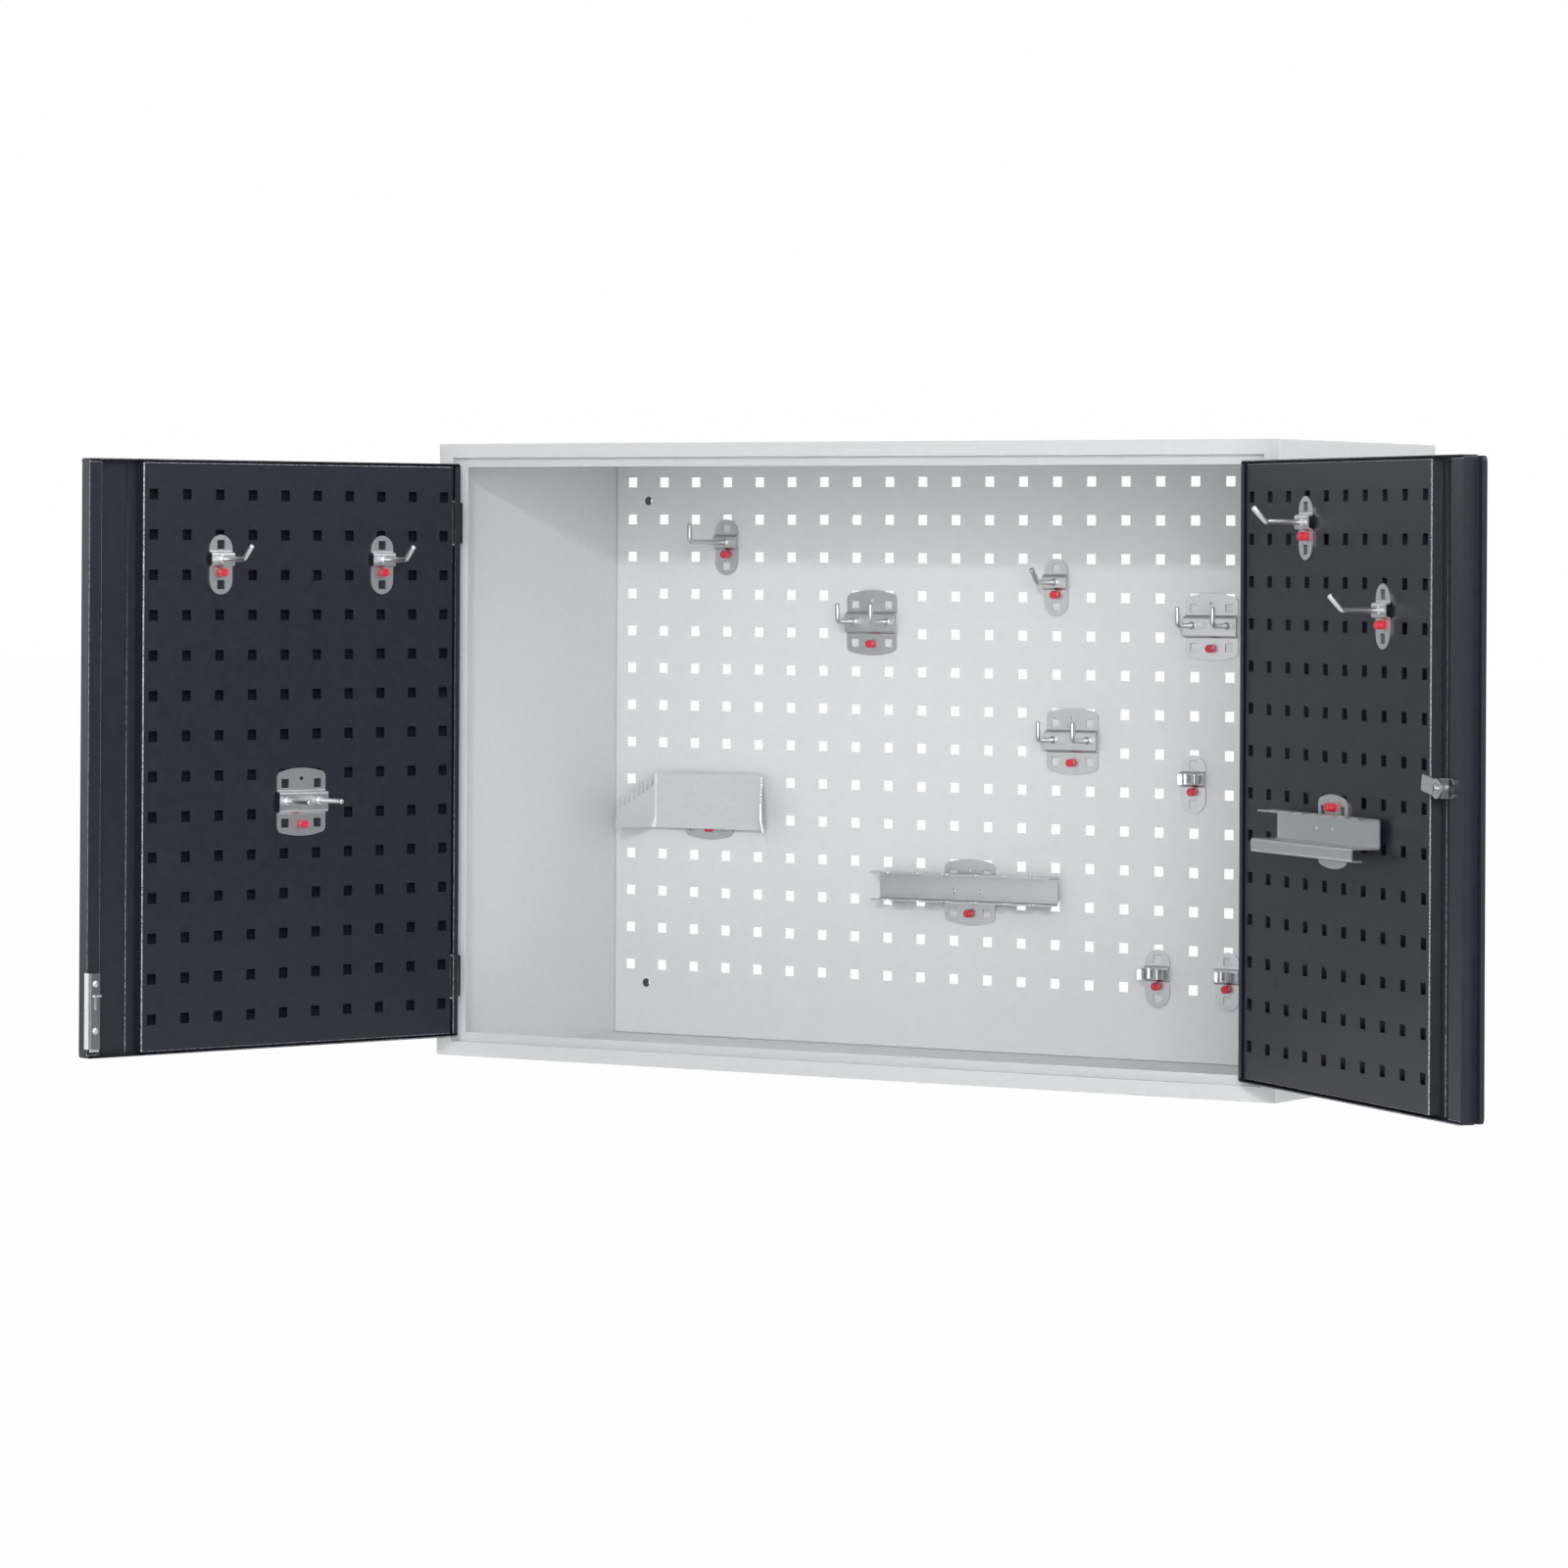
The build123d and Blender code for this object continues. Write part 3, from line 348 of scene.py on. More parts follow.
def rounded(corners, bend, step=0.6):
    """A bent line in a plane: straight runs joined by arcs of radius bend, as rows of (a, b)."""
    corners = np.array(corners, float)
    parts = [corners[:1]]
    for before, corner, after in zip(corners[:-2], corners[1:-1], corners[2:]):
        into = (corner - before) / np.linalg.norm(corner - before)
        out = (after - corner) / np.linalg.norm(after - corner)
        turn = np.arccos(np.clip(into @ out, -1, 1))
        cut = bend * np.tan(turn / 2)
        centre = corner + (out - into) / np.linalg.norm(out - into) * bend / np.cos(turn / 2)
        share = np.linspace(-0.5, 0.5, max(4, int(bend * turn / step) + 2))[:, None] * turn
        middle = (corner - centre) / np.linalg.norm(corner - centre)
        along = (into + out) / np.linalg.norm(into + out)
        parts.append(centre + bend * (middle * np.cos(share) + along * np.sin(share)))
        assert cut < np.linalg.norm(corner - before) and cut < np.linalg.norm(after - corner)
    return np.vstack(parts + [corners[-1:]])


def line_axes(line):
    """Directions along a plane line, and across it to its left, at every point."""
    along = np.gradient(line, axis=0)
    along /= np.linalg.norm(along, axis=1, keepdims=True)
    return along, np.stack([-along[:, 1], along[:, 0]], axis=1)


def line_length(line):
    """Length of a bent line."""
    return np.linalg.norm(np.diff(line, axis=0), axis=1).sum()


def wire(line, x, radius, sides=20):
    """Round wire along a line of (y, z) at a given x, flat at its first end, domed at its last."""
    along, across = line_axes(line)
    tip = np.array([0.0, 0.35, 0.65, 0.87, 1.0])
    dome = line[-1] + along[-1] * (tip[:, None] * radius * 0.45)
    middle = np.vstack([line[:1], line, dome])
    left = np.vstack([across[:1], across, np.repeat(across[-1:], len(tip), axis=0)])
    size = radius * np.concatenate([[0.0], np.ones(len(line)), np.sqrt(1 - tip**2)])
    angle = np.linspace(0, 2 * np.pi, sides, endpoint=False)
    side = size[:, None] * np.cos(angle)
    lift = size[:, None] * np.sin(angle)
    places = [x + side, middle[:, :1] + left[:, :1] * lift, middle[:, 1:] + left[:, 1:] * lift]
    return np.stack(places, axis=-1).reshape(-1, 3), grid_faces(len(middle), sides, wrap=True)


def strip(line, low, high, thickness, corner=0.2):
    """Strip from low to high across, with clipped corners, carried along a plane line."""
    along, across = line_axes(line)
    half = thickness / 2
    flat = half - corner
    left, right = low + corner, high - corner
    width = np.array([left, right, high, high, right, left, low, low])
    depth = np.array([half, half, flat, -flat, -half, -half, -flat, flat])
    rings = np.concatenate([[0], np.arange(len(line)), [len(line) - 1]])
    keep = np.ones(len(rings))
    keep[[0, -1]] = 0
    middle = (low + high) / 2
    over = middle + (width - middle) * keep[:, None]
    lift = depth * keep[:, None]
    spot = line[rings][:, None, :] + across[rings][:, None, :] * lift[:, :, None]
    points = np.concatenate([over[:, :, None], spot], axis=2).reshape(-1, 3)
    return points, grid_faces(len(rings), len(width), wrap=True)


# %% [markdown]
# ## Punched sheet
# A blank is one number at each place: the distance to the nearest cut, negative in the metal.
# The smaller of two such numbers joins two shapes. The larger of them, with one turned negative,
# cuts one out of the other. The blank is then folded along a path and given its thickness.

# %% Punched and folded sheet
NUDGE = 0.02


def meet(first, second, corner):
    """Distance to what two shapes have in common, with the corner between them rounded."""
    first, second = first + corner, second + corner
    outside = np.hypot(np.maximum(first, 0), np.maximum(second, 0))
    return np.minimum(np.maximum(first, second), 0) + outside - corner


def box_distance(a, b, half_a, half_b, corner=0.0):
    """Distance to a rectangle with rounded corners, negative inside it."""
    return meet(np.abs(a) - half_a, np.abs(b) - half_b, corner)


def punched(distance, line, low, high, thickness, cell=0.7, lift=None):
    """Blank of a given distance formula, folded along a plane line and given a thickness.

    u runs across the strip from low to high, and v is the length along the line. Cells with
    their middle in the metal are kept, and border points slide onto the outline along the slope
    of the distance. Each point then goes to its place on the line, half the thickness to either
    side, and the border gets a rim.
    """
    length = np.concatenate([[0], np.cumsum(np.linalg.norm(np.diff(line, axis=0), axis=1))])
    across = line_axes(line)[1]
    rows = int(np.ceil(length[-1] / cell)) + 1
    columns = int(np.ceil((high - low) / cell)) + 1
    ends = (np.linspace(0, length[-1], rows), np.linspace(low, high, columns))
    v, u = np.meshgrid(*ends, indexing="ij")
    u, v = u.ravel(), v.ravel()

    def at(values, where):
        return np.stack([np.interp(where, length, values[:, axis]) for axis in (0, 1)], axis=1)

    def metal(u, v):
        return distance(u, at(line, v), v)

    faces = grid_faces(rows, columns)
    inside = metal(u[faces].mean(axis=1), v[faces].mean(axis=1)) < 0
    faces = faces[inside]
    edges = np.concatenate([faces[:, [side, (side + 1) % 4]] for side in range(4)])
    code = np.sort(edges, axis=1) @ np.array([len(u), 1])
    _, first, owners = np.unique(code, return_index=True, return_counts=True)
    border = edges[first[owners == 1]]
    rim = np.unique(border)
    for _ in range(3):
        here = metal(u[rim], v[rim])
        slope_u = (metal(u[rim] + NUDGE, v[rim]) - metal(u[rim] - NUDGE, v[rim])) / (2 * NUDGE)
        slope_v = (metal(u[rim], v[rim] + NUDGE) - metal(u[rim], v[rim] - NUDGE)) / (2 * NUDGE)
        here = np.where(np.abs(here) < 1.5 * cell, here, 0)
        steep = np.maximum(slope_u**2 + slope_v**2, 0.25)
        u[rim] = np.clip(u[rim] - here * slope_u / steep, low, high)
        v[rim] = np.clip(v[rim] - here * slope_v / steep, 0, length[-1])
    spot = at(line, v)
    normal = at(across, v)
    normal /= np.linalg.norm(normal, axis=1, keepdims=True)
    if lift is not None:
        spot = spot + normal * lift(u, v)[:, None]
    sides = [np.column_stack([u, spot + normal * half]) for half in (thickness / 2, -thickness / 2)]
    count = len(u)
    back = faces[:, ::-1] + count
    front = border[:, ::-1]
    walls = np.concatenate([front, front[:, ::-1] + count], axis=1)
    return np.vstack(sides), np.vstack([faces, back, walls])


# %% [markdown]
# ## From arrays to objects
# A finished shape becomes a mesh and rides on the body of the node that it stands in for.

# %% Meshes from shapes
MERGE_MM = 0.003
SHARP_ANGLE = np.radians(38)


def mesh_piece(name, shape, coat, *nodes):
    """Put a shape in millimetres into a mesh, close its poles, face it outwards and dress it."""
    points, faces = shape
    mesh = bpy.data.meshes.new(name)
    mesh.vertices.add(len(points))
    mesh.vertices.foreach_set("co", (points * MM).ravel())
    mesh.loops.add(faces.size)
    mesh.loops.foreach_set("vertex_index", faces.ravel())
    mesh.polygons.add(len(faces))
    mesh.polygons.foreach_set("loop_start", np.arange(0, faces.size, 4))
    mesh.update(calc_edges=True)
    work = bmesh.new()
    work.from_mesh(mesh)
    bmesh.ops.remove_doubles(work, verts=work.verts, dist=MERGE_MM * MM)
    bmesh.ops.recalc_face_normals(work, faces=work.faces)
    work.to_mesh(mesh)
    work.free()
    mesh.materials.append(coat)
    mesh.shade_smooth()
    mesh.set_sharp_from_angle(angle=SHARP_ANGLE)
    item = placed(name, mesh)
    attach(item, BODY_OF[nodes[0]])
    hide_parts(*nodes)
    print(name, "faces", len(mesh.polygons))


# %% [markdown]
# ## Where the holders hang
# Every holder is drawn once on a panel with its face at Y = 0, and is then moved: straight onto
# the back panel, or onto a shut left door that is mirrored for the right side and swung open.

# %% Places on the back and on the doors
PITCH = 38.0
BACK_FIRST = (-437.0, 266.0)
BACK_FACE = -12.0
DOOR_FIRST = (-417.2, 247.0)
DOOR_FACE = -331.5
DOOR_FRONT = -343.0
HINGE_X = 436.5
OPEN_ANGLE = {"left": -108.6, "right": 141.7}
SMALL_DROP, WIDE_DROP = 28.1, 27.0
# Column and row of each holder's upper tab, or of the middle between its two upper tabs.
LONG_PLACE, TILTED_PLACE = (3, 1), (13, 2)
DOUBLE_PLACES = [(7.5, 3), (17.5, 3), (13.5, 6)]
CLIP_PLACES = [(16, 12), (17, 7), (18, 12)]
RACK_PLACE, RAIL_PLACE, DOOR_PLACE = (2.5, 8), (10.5, 10), (4.5, 7)
LEFT_HOOKS, RIGHT_HOOKS = [(2, 1), (7, 1)], [(3, 0), (7, 2)]


def moved(shape, x, y, z):
    """The shape slid by x, y and z."""
    return shape[0] + (x, y, z), shape[1]


def swung(shape, side):
    """A shape drawn at the shut left door, mirrored for the right one and swung open."""
    points = shape[0] * (1 if side == "left" else -1, 1, 1)
    axis = np.array([-HINGE_X if side == "left" else HINGE_X, DOOR_FRONT, 0])
    angle = np.radians(OPEN_ANGLE[side])
    cosine, sine = np.cos(angle), np.sin(angle)
    turn = np.array([[cosine, -sine, 0], [sine, cosine, 0], [0, 0, 1]])
    return (points - axis) @ turn.T + axis, shape[1]


def on_back(shape, column, row, drop):
    """Hang a holder on the back panel, its upper tabs in the given hole."""
    x, z = BACK_FIRST[0] + PITCH * column, BACK_FIRST[1] - PITCH * row - drop
    return moved(shape, x, BACK_FACE, z)


def on_door(shape, side, column, row, drop):
    """Hang a holder inside a door, columns counted from the hinge."""
    faced = (shape[0] * (-1, -1, 1), shape[1])
    place = (DOOR_FIRST[0] + PITCH * column, DOOR_FACE, DOOR_FIRST[1] - PITCH * row - drop)
    return swung(moved(faced, *place), side)


# %% [markdown]
# ## Holder plates
# A holder plate is a punched blank with square windows. The press pushes a band across its middle
# forwards, and folds the tongue of each window back and down into a tab that hooks into the
# panel. A small plate is a strip with round ends, and a wide one has bowed ends.

# %% Small and wide plates
SHEET = 1.5
MIDDLE = -1.0
SMALL_BAND = 5.1
SMALL_FACE, WIDE_FACE = -6.25, -6.75
SMALL_PIN, WIDE_PIN = -7.3, -21.2
SMALL_HALF, WIDE_HALF = 13.25, 28.5
SIGHT, PIN_HOLE = 22.5, 2.3
# Columns of a plate's windows, and the upper edge of its upper windows.
SMALL_WINDOWS, WIDE_WINDOWS = ([0], 23.3), ([-19, 19], 22.2)


def plate_line(half_height, low, high, proud, run=0.6):
    """Side view of a plate as (y, z): flat, forward over a slope, along the band, and back."""
    front = MIDDLE - proud
    ends = [(MIDDLE, -half_height), (MIDDLE, low - run), (front, low + run)]
    ends += [(front, high - run), (MIDDLE, high + run), (MIDDLE, half_height)]
    return rounded(ends, 1.7, 0.5)


def windows(u, z, columns, top):
    """Distance to the square windows, two in each column, a hole pitch apart."""
    gaps = [
        box_distance(u - column, z - top + 4.3 + lower, 4.3, 4.3, 0.9)
        for column in columns
        for lower in (0, PITCH)
    ]
    return np.minimum.reduce(gaps)


def small_metal(u, spot, v):
    """Strip with half-round ends, less two windows and the pin hole."""
    z = spot[:, 1]
    outline = np.hypot(u, np.maximum(np.abs(z) - 15.0, 0)) - SMALL_HALF
    hole = np.hypot(u, z - SMALL_PIN) - PIN_HOLE
    return np.maximum(outline, -np.minimum(windows(u, z, *SMALL_WINDOWS), hole))


def wide_metal(u, spot, v, pin=WIDE_PIN, sight=SIGHT):
    """Plate between two upright sides and two bows of 90 mm radius, less its windows and holes."""
    z = spot[:, 1]
    bows = np.hypot(u, np.abs(z) + 57.5) - 90.0
    outline = meet(np.abs(u) - WIDE_HALF, bows, 4.0)
    holes = np.minimum(windows(u, z, *WIDE_WINDOWS), np.hypot(u, z - pin) - PIN_HOLE)
    holes = np.minimum(holes, np.hypot(u, z - sight) - 2.0)
    return np.maximum(outline, -holes)


def flipped_metal(u, spot, v):
    """The same plate for a pin above the band, with no sight hole."""
    return wide_metal(u, spot, v, -WIDE_PIN, -WIDE_PIN)


def tabs(columns, top):
    """The tongues of the windows, bent back through the panel and down behind it."""
    line = rounded([(MIDDLE, top + 0.75), (2.05, top + 0.75), (2.05, top - 4.0)], 1.1, 0.4)
    tongue = strip(line, -4.3, 4.3, SHEET)
    return joined(*[moved(tongue, column, 0, -lower) for column in columns for lower in (0, PITCH)])


small_line = plate_line(28.25, -1.0, 11.2, 4.5)
wide_line = plate_line(32.5, -9.5, 9.5, 5.0)
small_blank = punched(small_metal, small_line, -SMALL_HALF, SMALL_HALF, SHEET)
small_plate = joined(small_blank, tabs(*SMALL_WINDOWS))
wide_plate, flipped_plate = [
    joined(punched(metal, wide_line, -WIDE_HALF, WIDE_HALF, SHEET, 0.8), tabs(*WIDE_WINDOWS))
    for metal in (wide_metal, flipped_metal)
]
print("plate faces", len(small_plate[1]), len(wide_plate[1]))

# %% [markdown]
# ## Wire hooks
# The hooks are 5 mm wire, bent cold round a former, so the bends are round, and their cut tips are
# tumbled smooth. Resistance welding presses each wire into the band and leaves a low collar.

# %% Hooks
ROD = 2.5
REST = 1.0
ROD_PLACES = (-19, 19)
bead = [(2.3, -1.3), (2.75, -1.0), (3.1, -0.55), (3.7, -0.2), (4.0, 0.0), (4.0, 0.4), (2.3, 0.4)]
collar = turned(bead + bead[:1], 28)


def hook(corners, x, face, rise, bend=5.0):
    """One wire from the face of a band, with the collar of its weld."""
    start = face + 0.8
    if len(corners) > 1:
        line = rounded([(start, rise)] + corners, bend, 0.8)
    else:
        line = np.column_stack([np.linspace(start, corners[0][0], 12), np.full(12, rise)])
    return joined(wire(line, x, ROD), moved(collar, x, face, rise))


long_hook = joined(small_plate, hook([(-73.0, 5.1), (-73.0, 23.1)], 0, SMALL_FACE, SMALL_BAND))
tilted_hook = joined(small_plate, hook([(-40.0, 5.1), (-52.0, 17.5)], 0, SMALL_FACE, SMALL_BAND))
bent = [hook([(-37.0, REST), (-37.0, 18.5)], x, WIDE_FACE, REST) for x in ROD_PLACES]
double_hook = joined(wide_plate, *bent)
straight = [hook([(-41.0, REST)], x, WIDE_FACE, REST) for x in ROD_PLACES]
twin_rods = joined(wide_plate, *straight)
mesh_piece("long_hook_wire", on_back(long_hook, *LONG_PLACE, SMALL_DROP), zinc, "long_hook")
mesh_piece("tilted_hook_wire", on_back(tilted_hook, *TILTED_PLACE, SMALL_DROP), zinc, "tilted_hook")
doubles = joined(*[on_back(double_hook, *place, WIDE_DROP) for place in DOUBLE_PLACES])
mesh_piece("double_hook_wires", doubles, zinc, "double_hooks")
left_pair = joined(*[on_door(tilted_hook, "left", *place, SMALL_DROP) for place in LEFT_HOOKS])
mesh_piece("left_door_hook_wires", left_pair, zinc, "left_door_hooks")
rod_pair = on_door(twin_rods, "left", *DOOR_PLACE, WIDE_DROP)
mesh_piece("left_door_rod_pair", rod_pair, zinc, "left_door_twin_rods")
right_pair = joined(*[on_door(tilted_hook, "right", *place, SMALL_DROP) for place in RIGHT_HOOKS])
mesh_piece("right_door_hook_wires", right_pair, zinc, "right_door_hooks")

# %% [markdown]
# ## Locking pins
# A red nylon pin is pushed through each plate so that the holder can't jump out. Its head is a
# short stub with a rounded rim and a small dish where it left the mould.

# %% Pins
def locking_pin(length, shank):
    """Stub of 4 mm radius in front of the plate, and a shank through it."""
    front = -1.75 - length
    profile = [(0, front + 0.6), (1.3, front + 0.5), (1.8, front + 0.05), (3.1, front)]
    profile += [(3.6, front + 0.15), (3.9, front + 0.5), (4.0, front + 1.0), (4.0, -2.1)]
    profile += [(3.8, -1.75), (2.2, -1.75), (2.2, shank - 0.6), (1.6, shank), (0, shank)]
    return turned(profile, 32)


PIN_LENGTH, SHORT_PIN_LENGTH = 7.0, 4.7
SMALL_SHANK, WIDE_SHANK = 3.0, -0.25
small_pin = moved(locking_pin(PIN_LENGTH, SMALL_SHANK), 0, 0, SMALL_PIN)
wide_pin = moved(locking_pin(PIN_LENGTH, WIDE_SHANK), 0, 0, WIDE_PIN)
flipped_pin = moved(locking_pin(PIN_LENGTH, WIDE_SHANK), 0, 0, -WIDE_PIN)
short_pin = moved(locking_pin(SHORT_PIN_LENGTH, WIDE_SHANK), 0, 0, WIDE_PIN)
small_places = [LONG_PLACE, TILTED_PLACE] + CLIP_PLACES
back_pins = [on_back(small_pin, *place, SMALL_DROP) for place in small_places]
back_pins += [on_back(wide_pin, *place, WIDE_DROP) for place in DOUBLE_PLACES + [RAIL_PLACE]]
back_pins.append(on_back(short_pin, *RACK_PLACE, WIDE_DROP))
mesh_piece("back_pins", joined(*back_pins), red, "back_locking_pins")
left_pins = [on_door(small_pin, "left", *place, SMALL_DROP) for place in LEFT_HOOKS]
left_pins.append(on_door(wide_pin, "left", *DOOR_PLACE, WIDE_DROP))
mesh_piece("left_door_pins", joined(*left_pins), red, "left_door_locking_pins")
right_pins = [on_door(small_pin, "right", *place, SMALL_DROP) for place in RIGHT_HOOKS]
right_pins.append(on_door(flipped_pin, "right", *DOOR_PLACE, WIDE_DROP))
mesh_piece("right_door_pins", joined(*right_pins), red, "right_door_locking_pins")

# %% [markdown]
# ## Spring clips
# Each clip is one strip of spring steel, riveted at its middle: the arms swell to grip a round
# handle and flare at the mouth. A smooth curve goes through a few points of one arm, and the
# strip is carried along it.

# %% Clips and their plates
def smooth(points, steps=7):
    """Curve through the points: on each span a cubic whose slopes come from the neighbours."""
    points = np.array(points, float)
    first, last = 2 * points[0] - points[1], 2 * points[-1] - points[-2]
    p = np.vstack([first, points, last])[:, None, :]
    t = np.linspace(0, 1, steps, endpoint=False)[None, :, None]
    a, b, c, d = p[:-3], p[1:-2], p[2:-1], p[3:]
    square, cube = 2 * a - 5 * b + 4 * c - d, 3 * b - a - 3 * c + d
    curve = 0.5 * (2 * b + (c - a) * t + square * t**2 + cube * t**3)
    return np.vstack([curve.reshape(-1, 2), points[-1:]])


def upright(shape):
    """Stand a shape up: its line goes into the XY plane and its width along Z."""
    return shape[0][:, [1, 2, 0]], shape[1]


def spring_clip(depth, half_width):
    """Strip 10 mm wide and 0.8 mm thick along both arms and the flat between them."""
    arm = [(0.9, 1.0), (0.47, 0.8), (0.8, 0.66), (1.0, 0.45), (0.87, 0.18), (0.5, 0.0)]
    flat = SMALL_FACE - 0.4
    inner = [(half_width * across - 0.4, flat - (depth - 0.4) * out) for across, out in arm]
    line = smooth(inner + [(0.0, flat)] + [(-x, y) for x, y in inner[::-1]])
    return moved(upright(strip(line, -5.0, 5.0, 0.8, 0.1)), 0, 0, SMALL_BAND)


rivet_rows = [(0, -1.0), (1.0, -0.95), (1.9, -0.7), (2.4, -0.3), (2.5, 0.0), (1.5, 0.3), (0, 0.3)]
rivet = moved(turned(rivet_rows, 28), 0, SMALL_FACE - 0.8, SMALL_BAND)
plates = joined(*[on_back(small_plate, *place, SMALL_DROP) for place in CLIP_PLACES])
mesh_piece("clip_strips", plates, zinc, "clip_plates")
rivets = [on_back(rivet, *place, SMALL_DROP) for place in CLIP_PLACES]
mesh_piece("clip_rivet_heads", joined(*rivets), zinc, "clip_rivets")
clip_sizes = {"large": (19.0, 12.0), "medium": (12.0, 10.0), "small": (10.0, 8.0)}
for place, (size, (depth, half_width)) in zip(CLIP_PLACES, clip_sizes.items()):
    clip = on_back(spring_clip(depth, half_width), *place, SMALL_DROP)
    mesh_piece(size + "_clip_spring", clip, spring, size + "_spring_clip")

# %% [markdown]
# ## Spanner rack
# One blank makes the rack: its two cheeks are folded forwards, their upper edges slope down to
# the front and carry eight slots each, and the lowest part of each cheek leans out a little.

# %% Rack
RACK_TOP, RACK_LOW = 34.3, -21.7
CHEEK, CHEEK_DROP = 46.0, 27.0
RACK_SHIFT = 2.5
SLOT_FIRST, SLOT_STEP = 4.45, 5.3
corner = np.array([-63.07, -7.5])
cheek_end = corner + (CHEEK - 0.4) * np.array([-0.5, -np.sqrt(0.75)])
rack_line = rounded([cheek_end, corner, corner * (-1, 1), cheek_end * (-1, 1)], 2.2, 0.5)
rack_length = line_length(rack_line)


def along_cheek(v):
    """How far a place on the blank lies beyond the nearer fold."""
    return np.abs(v - rack_length / 2) - 63.0


def rack_metal(z, spot, v):
    """Upright blank whose top slopes down along the cheeks, less eight slots in each slope."""
    beyond = along_cheek(v)
    edge = RACK_TOP - CHEEK_DROP * np.maximum(beyond, 0) / CHEEK
    top = (z - edge) * np.where(beyond > 0, 0.862, 1.0)
    slot = np.clip(np.round((beyond - SLOT_FIRST) / SLOT_STEP), 0, 7)
    slots = box_distance(beyond - SLOT_FIRST - SLOT_STEP * slot, z - edge, 1.3, 12.0, 0.7)
    return np.maximum(top, -slots)


def hem_lean(z, v):
    """Outward lean of the lowest 12 mm of the cheeks, a fifth of the way down."""
    return 0.2 * np.maximum(RACK_LOW + 12.0 - z, 0) * np.clip(along_cheek(v) / 4.0, 0, 1)


rack = upright(punched(rack_metal, rack_line, RACK_LOW, RACK_TOP, SHEET, 0.65, hem_lean))
cheeks = on_back(moved(rack, RACK_SHIFT, 0, 0), *RACK_PLACE, WIDE_DROP)
# The cheeks are in the paler zinc copy: painted light.
mesh_piece("spanner_cheeks", cheeks, pale_zinc_painted_light, "spanner_rack")
mesh_piece("spanner_back", on_back(wide_plate, *RACK_PLACE, WIDE_DROP), zinc, "spanner_plate")

# %% [markdown]
# ## Tool rails
# The rails are channels, roll-formed from strip with notches punched along the free edges, and
# spot-welded to the band of a wide plate. Each weld leaves a shallow dimple with a raised rim.

# %% Rails
back_line = rounded([(-27.75, 17.7), (-7.5, 17.7), (-7.5, -9.3), (-27.75, -9.3)], 2.0, 0.5)
hook_ends = [(-33.5, -10.25), (-33.5, -20.95), (-23.75, -20.95)]
door_ends = [(-27.75, 14.85), (-7.5, 14.85), (-7.5, -10.25)] + hook_ends
door_line = rounded(door_ends, 2.0, 0.5)
BACK_NOTCH, DOOR_NOTCH = 33.0, 27.0


def back_rail_metal(u, spot, v):
    """Channel of 201 mm with six notches in both free edges."""
    half_length = line_length(back_line) / 2
    from_edge = np.abs(v - half_length) - half_length
    place = u - 1.6
    notch = np.clip(np.round(place / BACK_NOTCH - 0.5), -3, 2) + 0.5
    cut = box_distance(place - BACK_NOTCH * notch, from_edge, 4.5, 9.0, 1.0)
    return np.maximum(np.abs(place) - 100.5, -cut)


def door_rail_metal(u, spot, v):
    """Channel of 200 mm with seven notches in its upper free edge."""
    place = u + 2.5
    notch = np.clip(np.round(place / DOOR_NOTCH), -3, 3)
    cut = box_distance(place - DOOR_NOTCH * notch, v, 4.5, 9.0, 1.0)
    return np.maximum(np.abs(place) - 100.0, -cut)


dimple = [(0, 0.1), (0.9, 0.05), (1.3, -0.3), (1.8, -0.35), (2.3, -0.1), (2.5, 0.2), (0, 0.3)]
weld = turned(dimple, 24)
back_rail = punched(back_rail_metal, back_line, -98.9, 102.1, SHEET, 0.9)
back_rail = joined(back_rail, *[moved(weld, x, -8.25, 1.0) for x in (-15, 15)])
mesh_piece("back_rail_channel", on_back(back_rail, *RAIL_PLACE, WIDE_DROP), zinc, "back_rail")
mesh_piece("back_rail_back", on_back(wide_plate, *RAIL_PLACE, WIDE_DROP), zinc, "back_rail_plate")
door_rail = punched(door_rail_metal, door_line, -102.5, 97.5, SHEET, 0.9)
door_rail = joined(door_rail, *[moved(weld, x, -8.25, 2.6) for x in (-12.3, 18.3)])
rail = on_door(door_rail, "right", *DOOR_PLACE, WIDE_DROP)
mesh_piece("door_rail_channel", rail, zinc, "right_rail")
rail_back = on_door(flipped_plate, "right", *DOOR_PLACE, WIDE_DROP)
mesh_piece("door_rail_back", rail_back, zinc, "right_rail_plate")

# %% [markdown]
# ## Cam lock
# The barrel is a threaded zinc casting, whose thread shows behind the door as close ribs. A flat
# cam is held on the squared end of the plug by a pan-head screw, and a small forked plate sits
# beside it on the turned edge of the door.

# %% Lock
LOCK_X = -33.0
THREAD_PITCH, THREAD_DEPTH = 1.5, 0.5


def threaded_barrel():
    """Barrel and rosette; in the threaded part the radius swings by 0.5 mm every 1.5 mm."""
    rows = [(8.7, y) for y in np.linspace(-341.8, -323.9, 110)]
    profile = [(6.05, -345.0), (9.6, -345.0), (10.6, -344.6), (11.0, -343.9), (11.0, -343.0)]
    profile += [(8.7, -343.0)] + rows + [(8.3, -323.5), (6.05, -323.5), (6.05, -345.0)]
    points, faces = turned(profile, 56)
    radius = np.hypot(points[:, 0], points[:, 2])
    angle = np.arctan2(points[:, 2], points[:, 0])
    inside = (points[:, 1] > -341.9) & (radius > 8.6)
    wave = np.cos(2 * np.pi * points[:, 1] / THREAD_PITCH - angle)
    swing = THREAD_DEPTH / 2 * (1 - wave)
    points[:, [0, 2]] *= np.where(inside, 1 - swing / radius, 1)[:, None]
    return points, faces


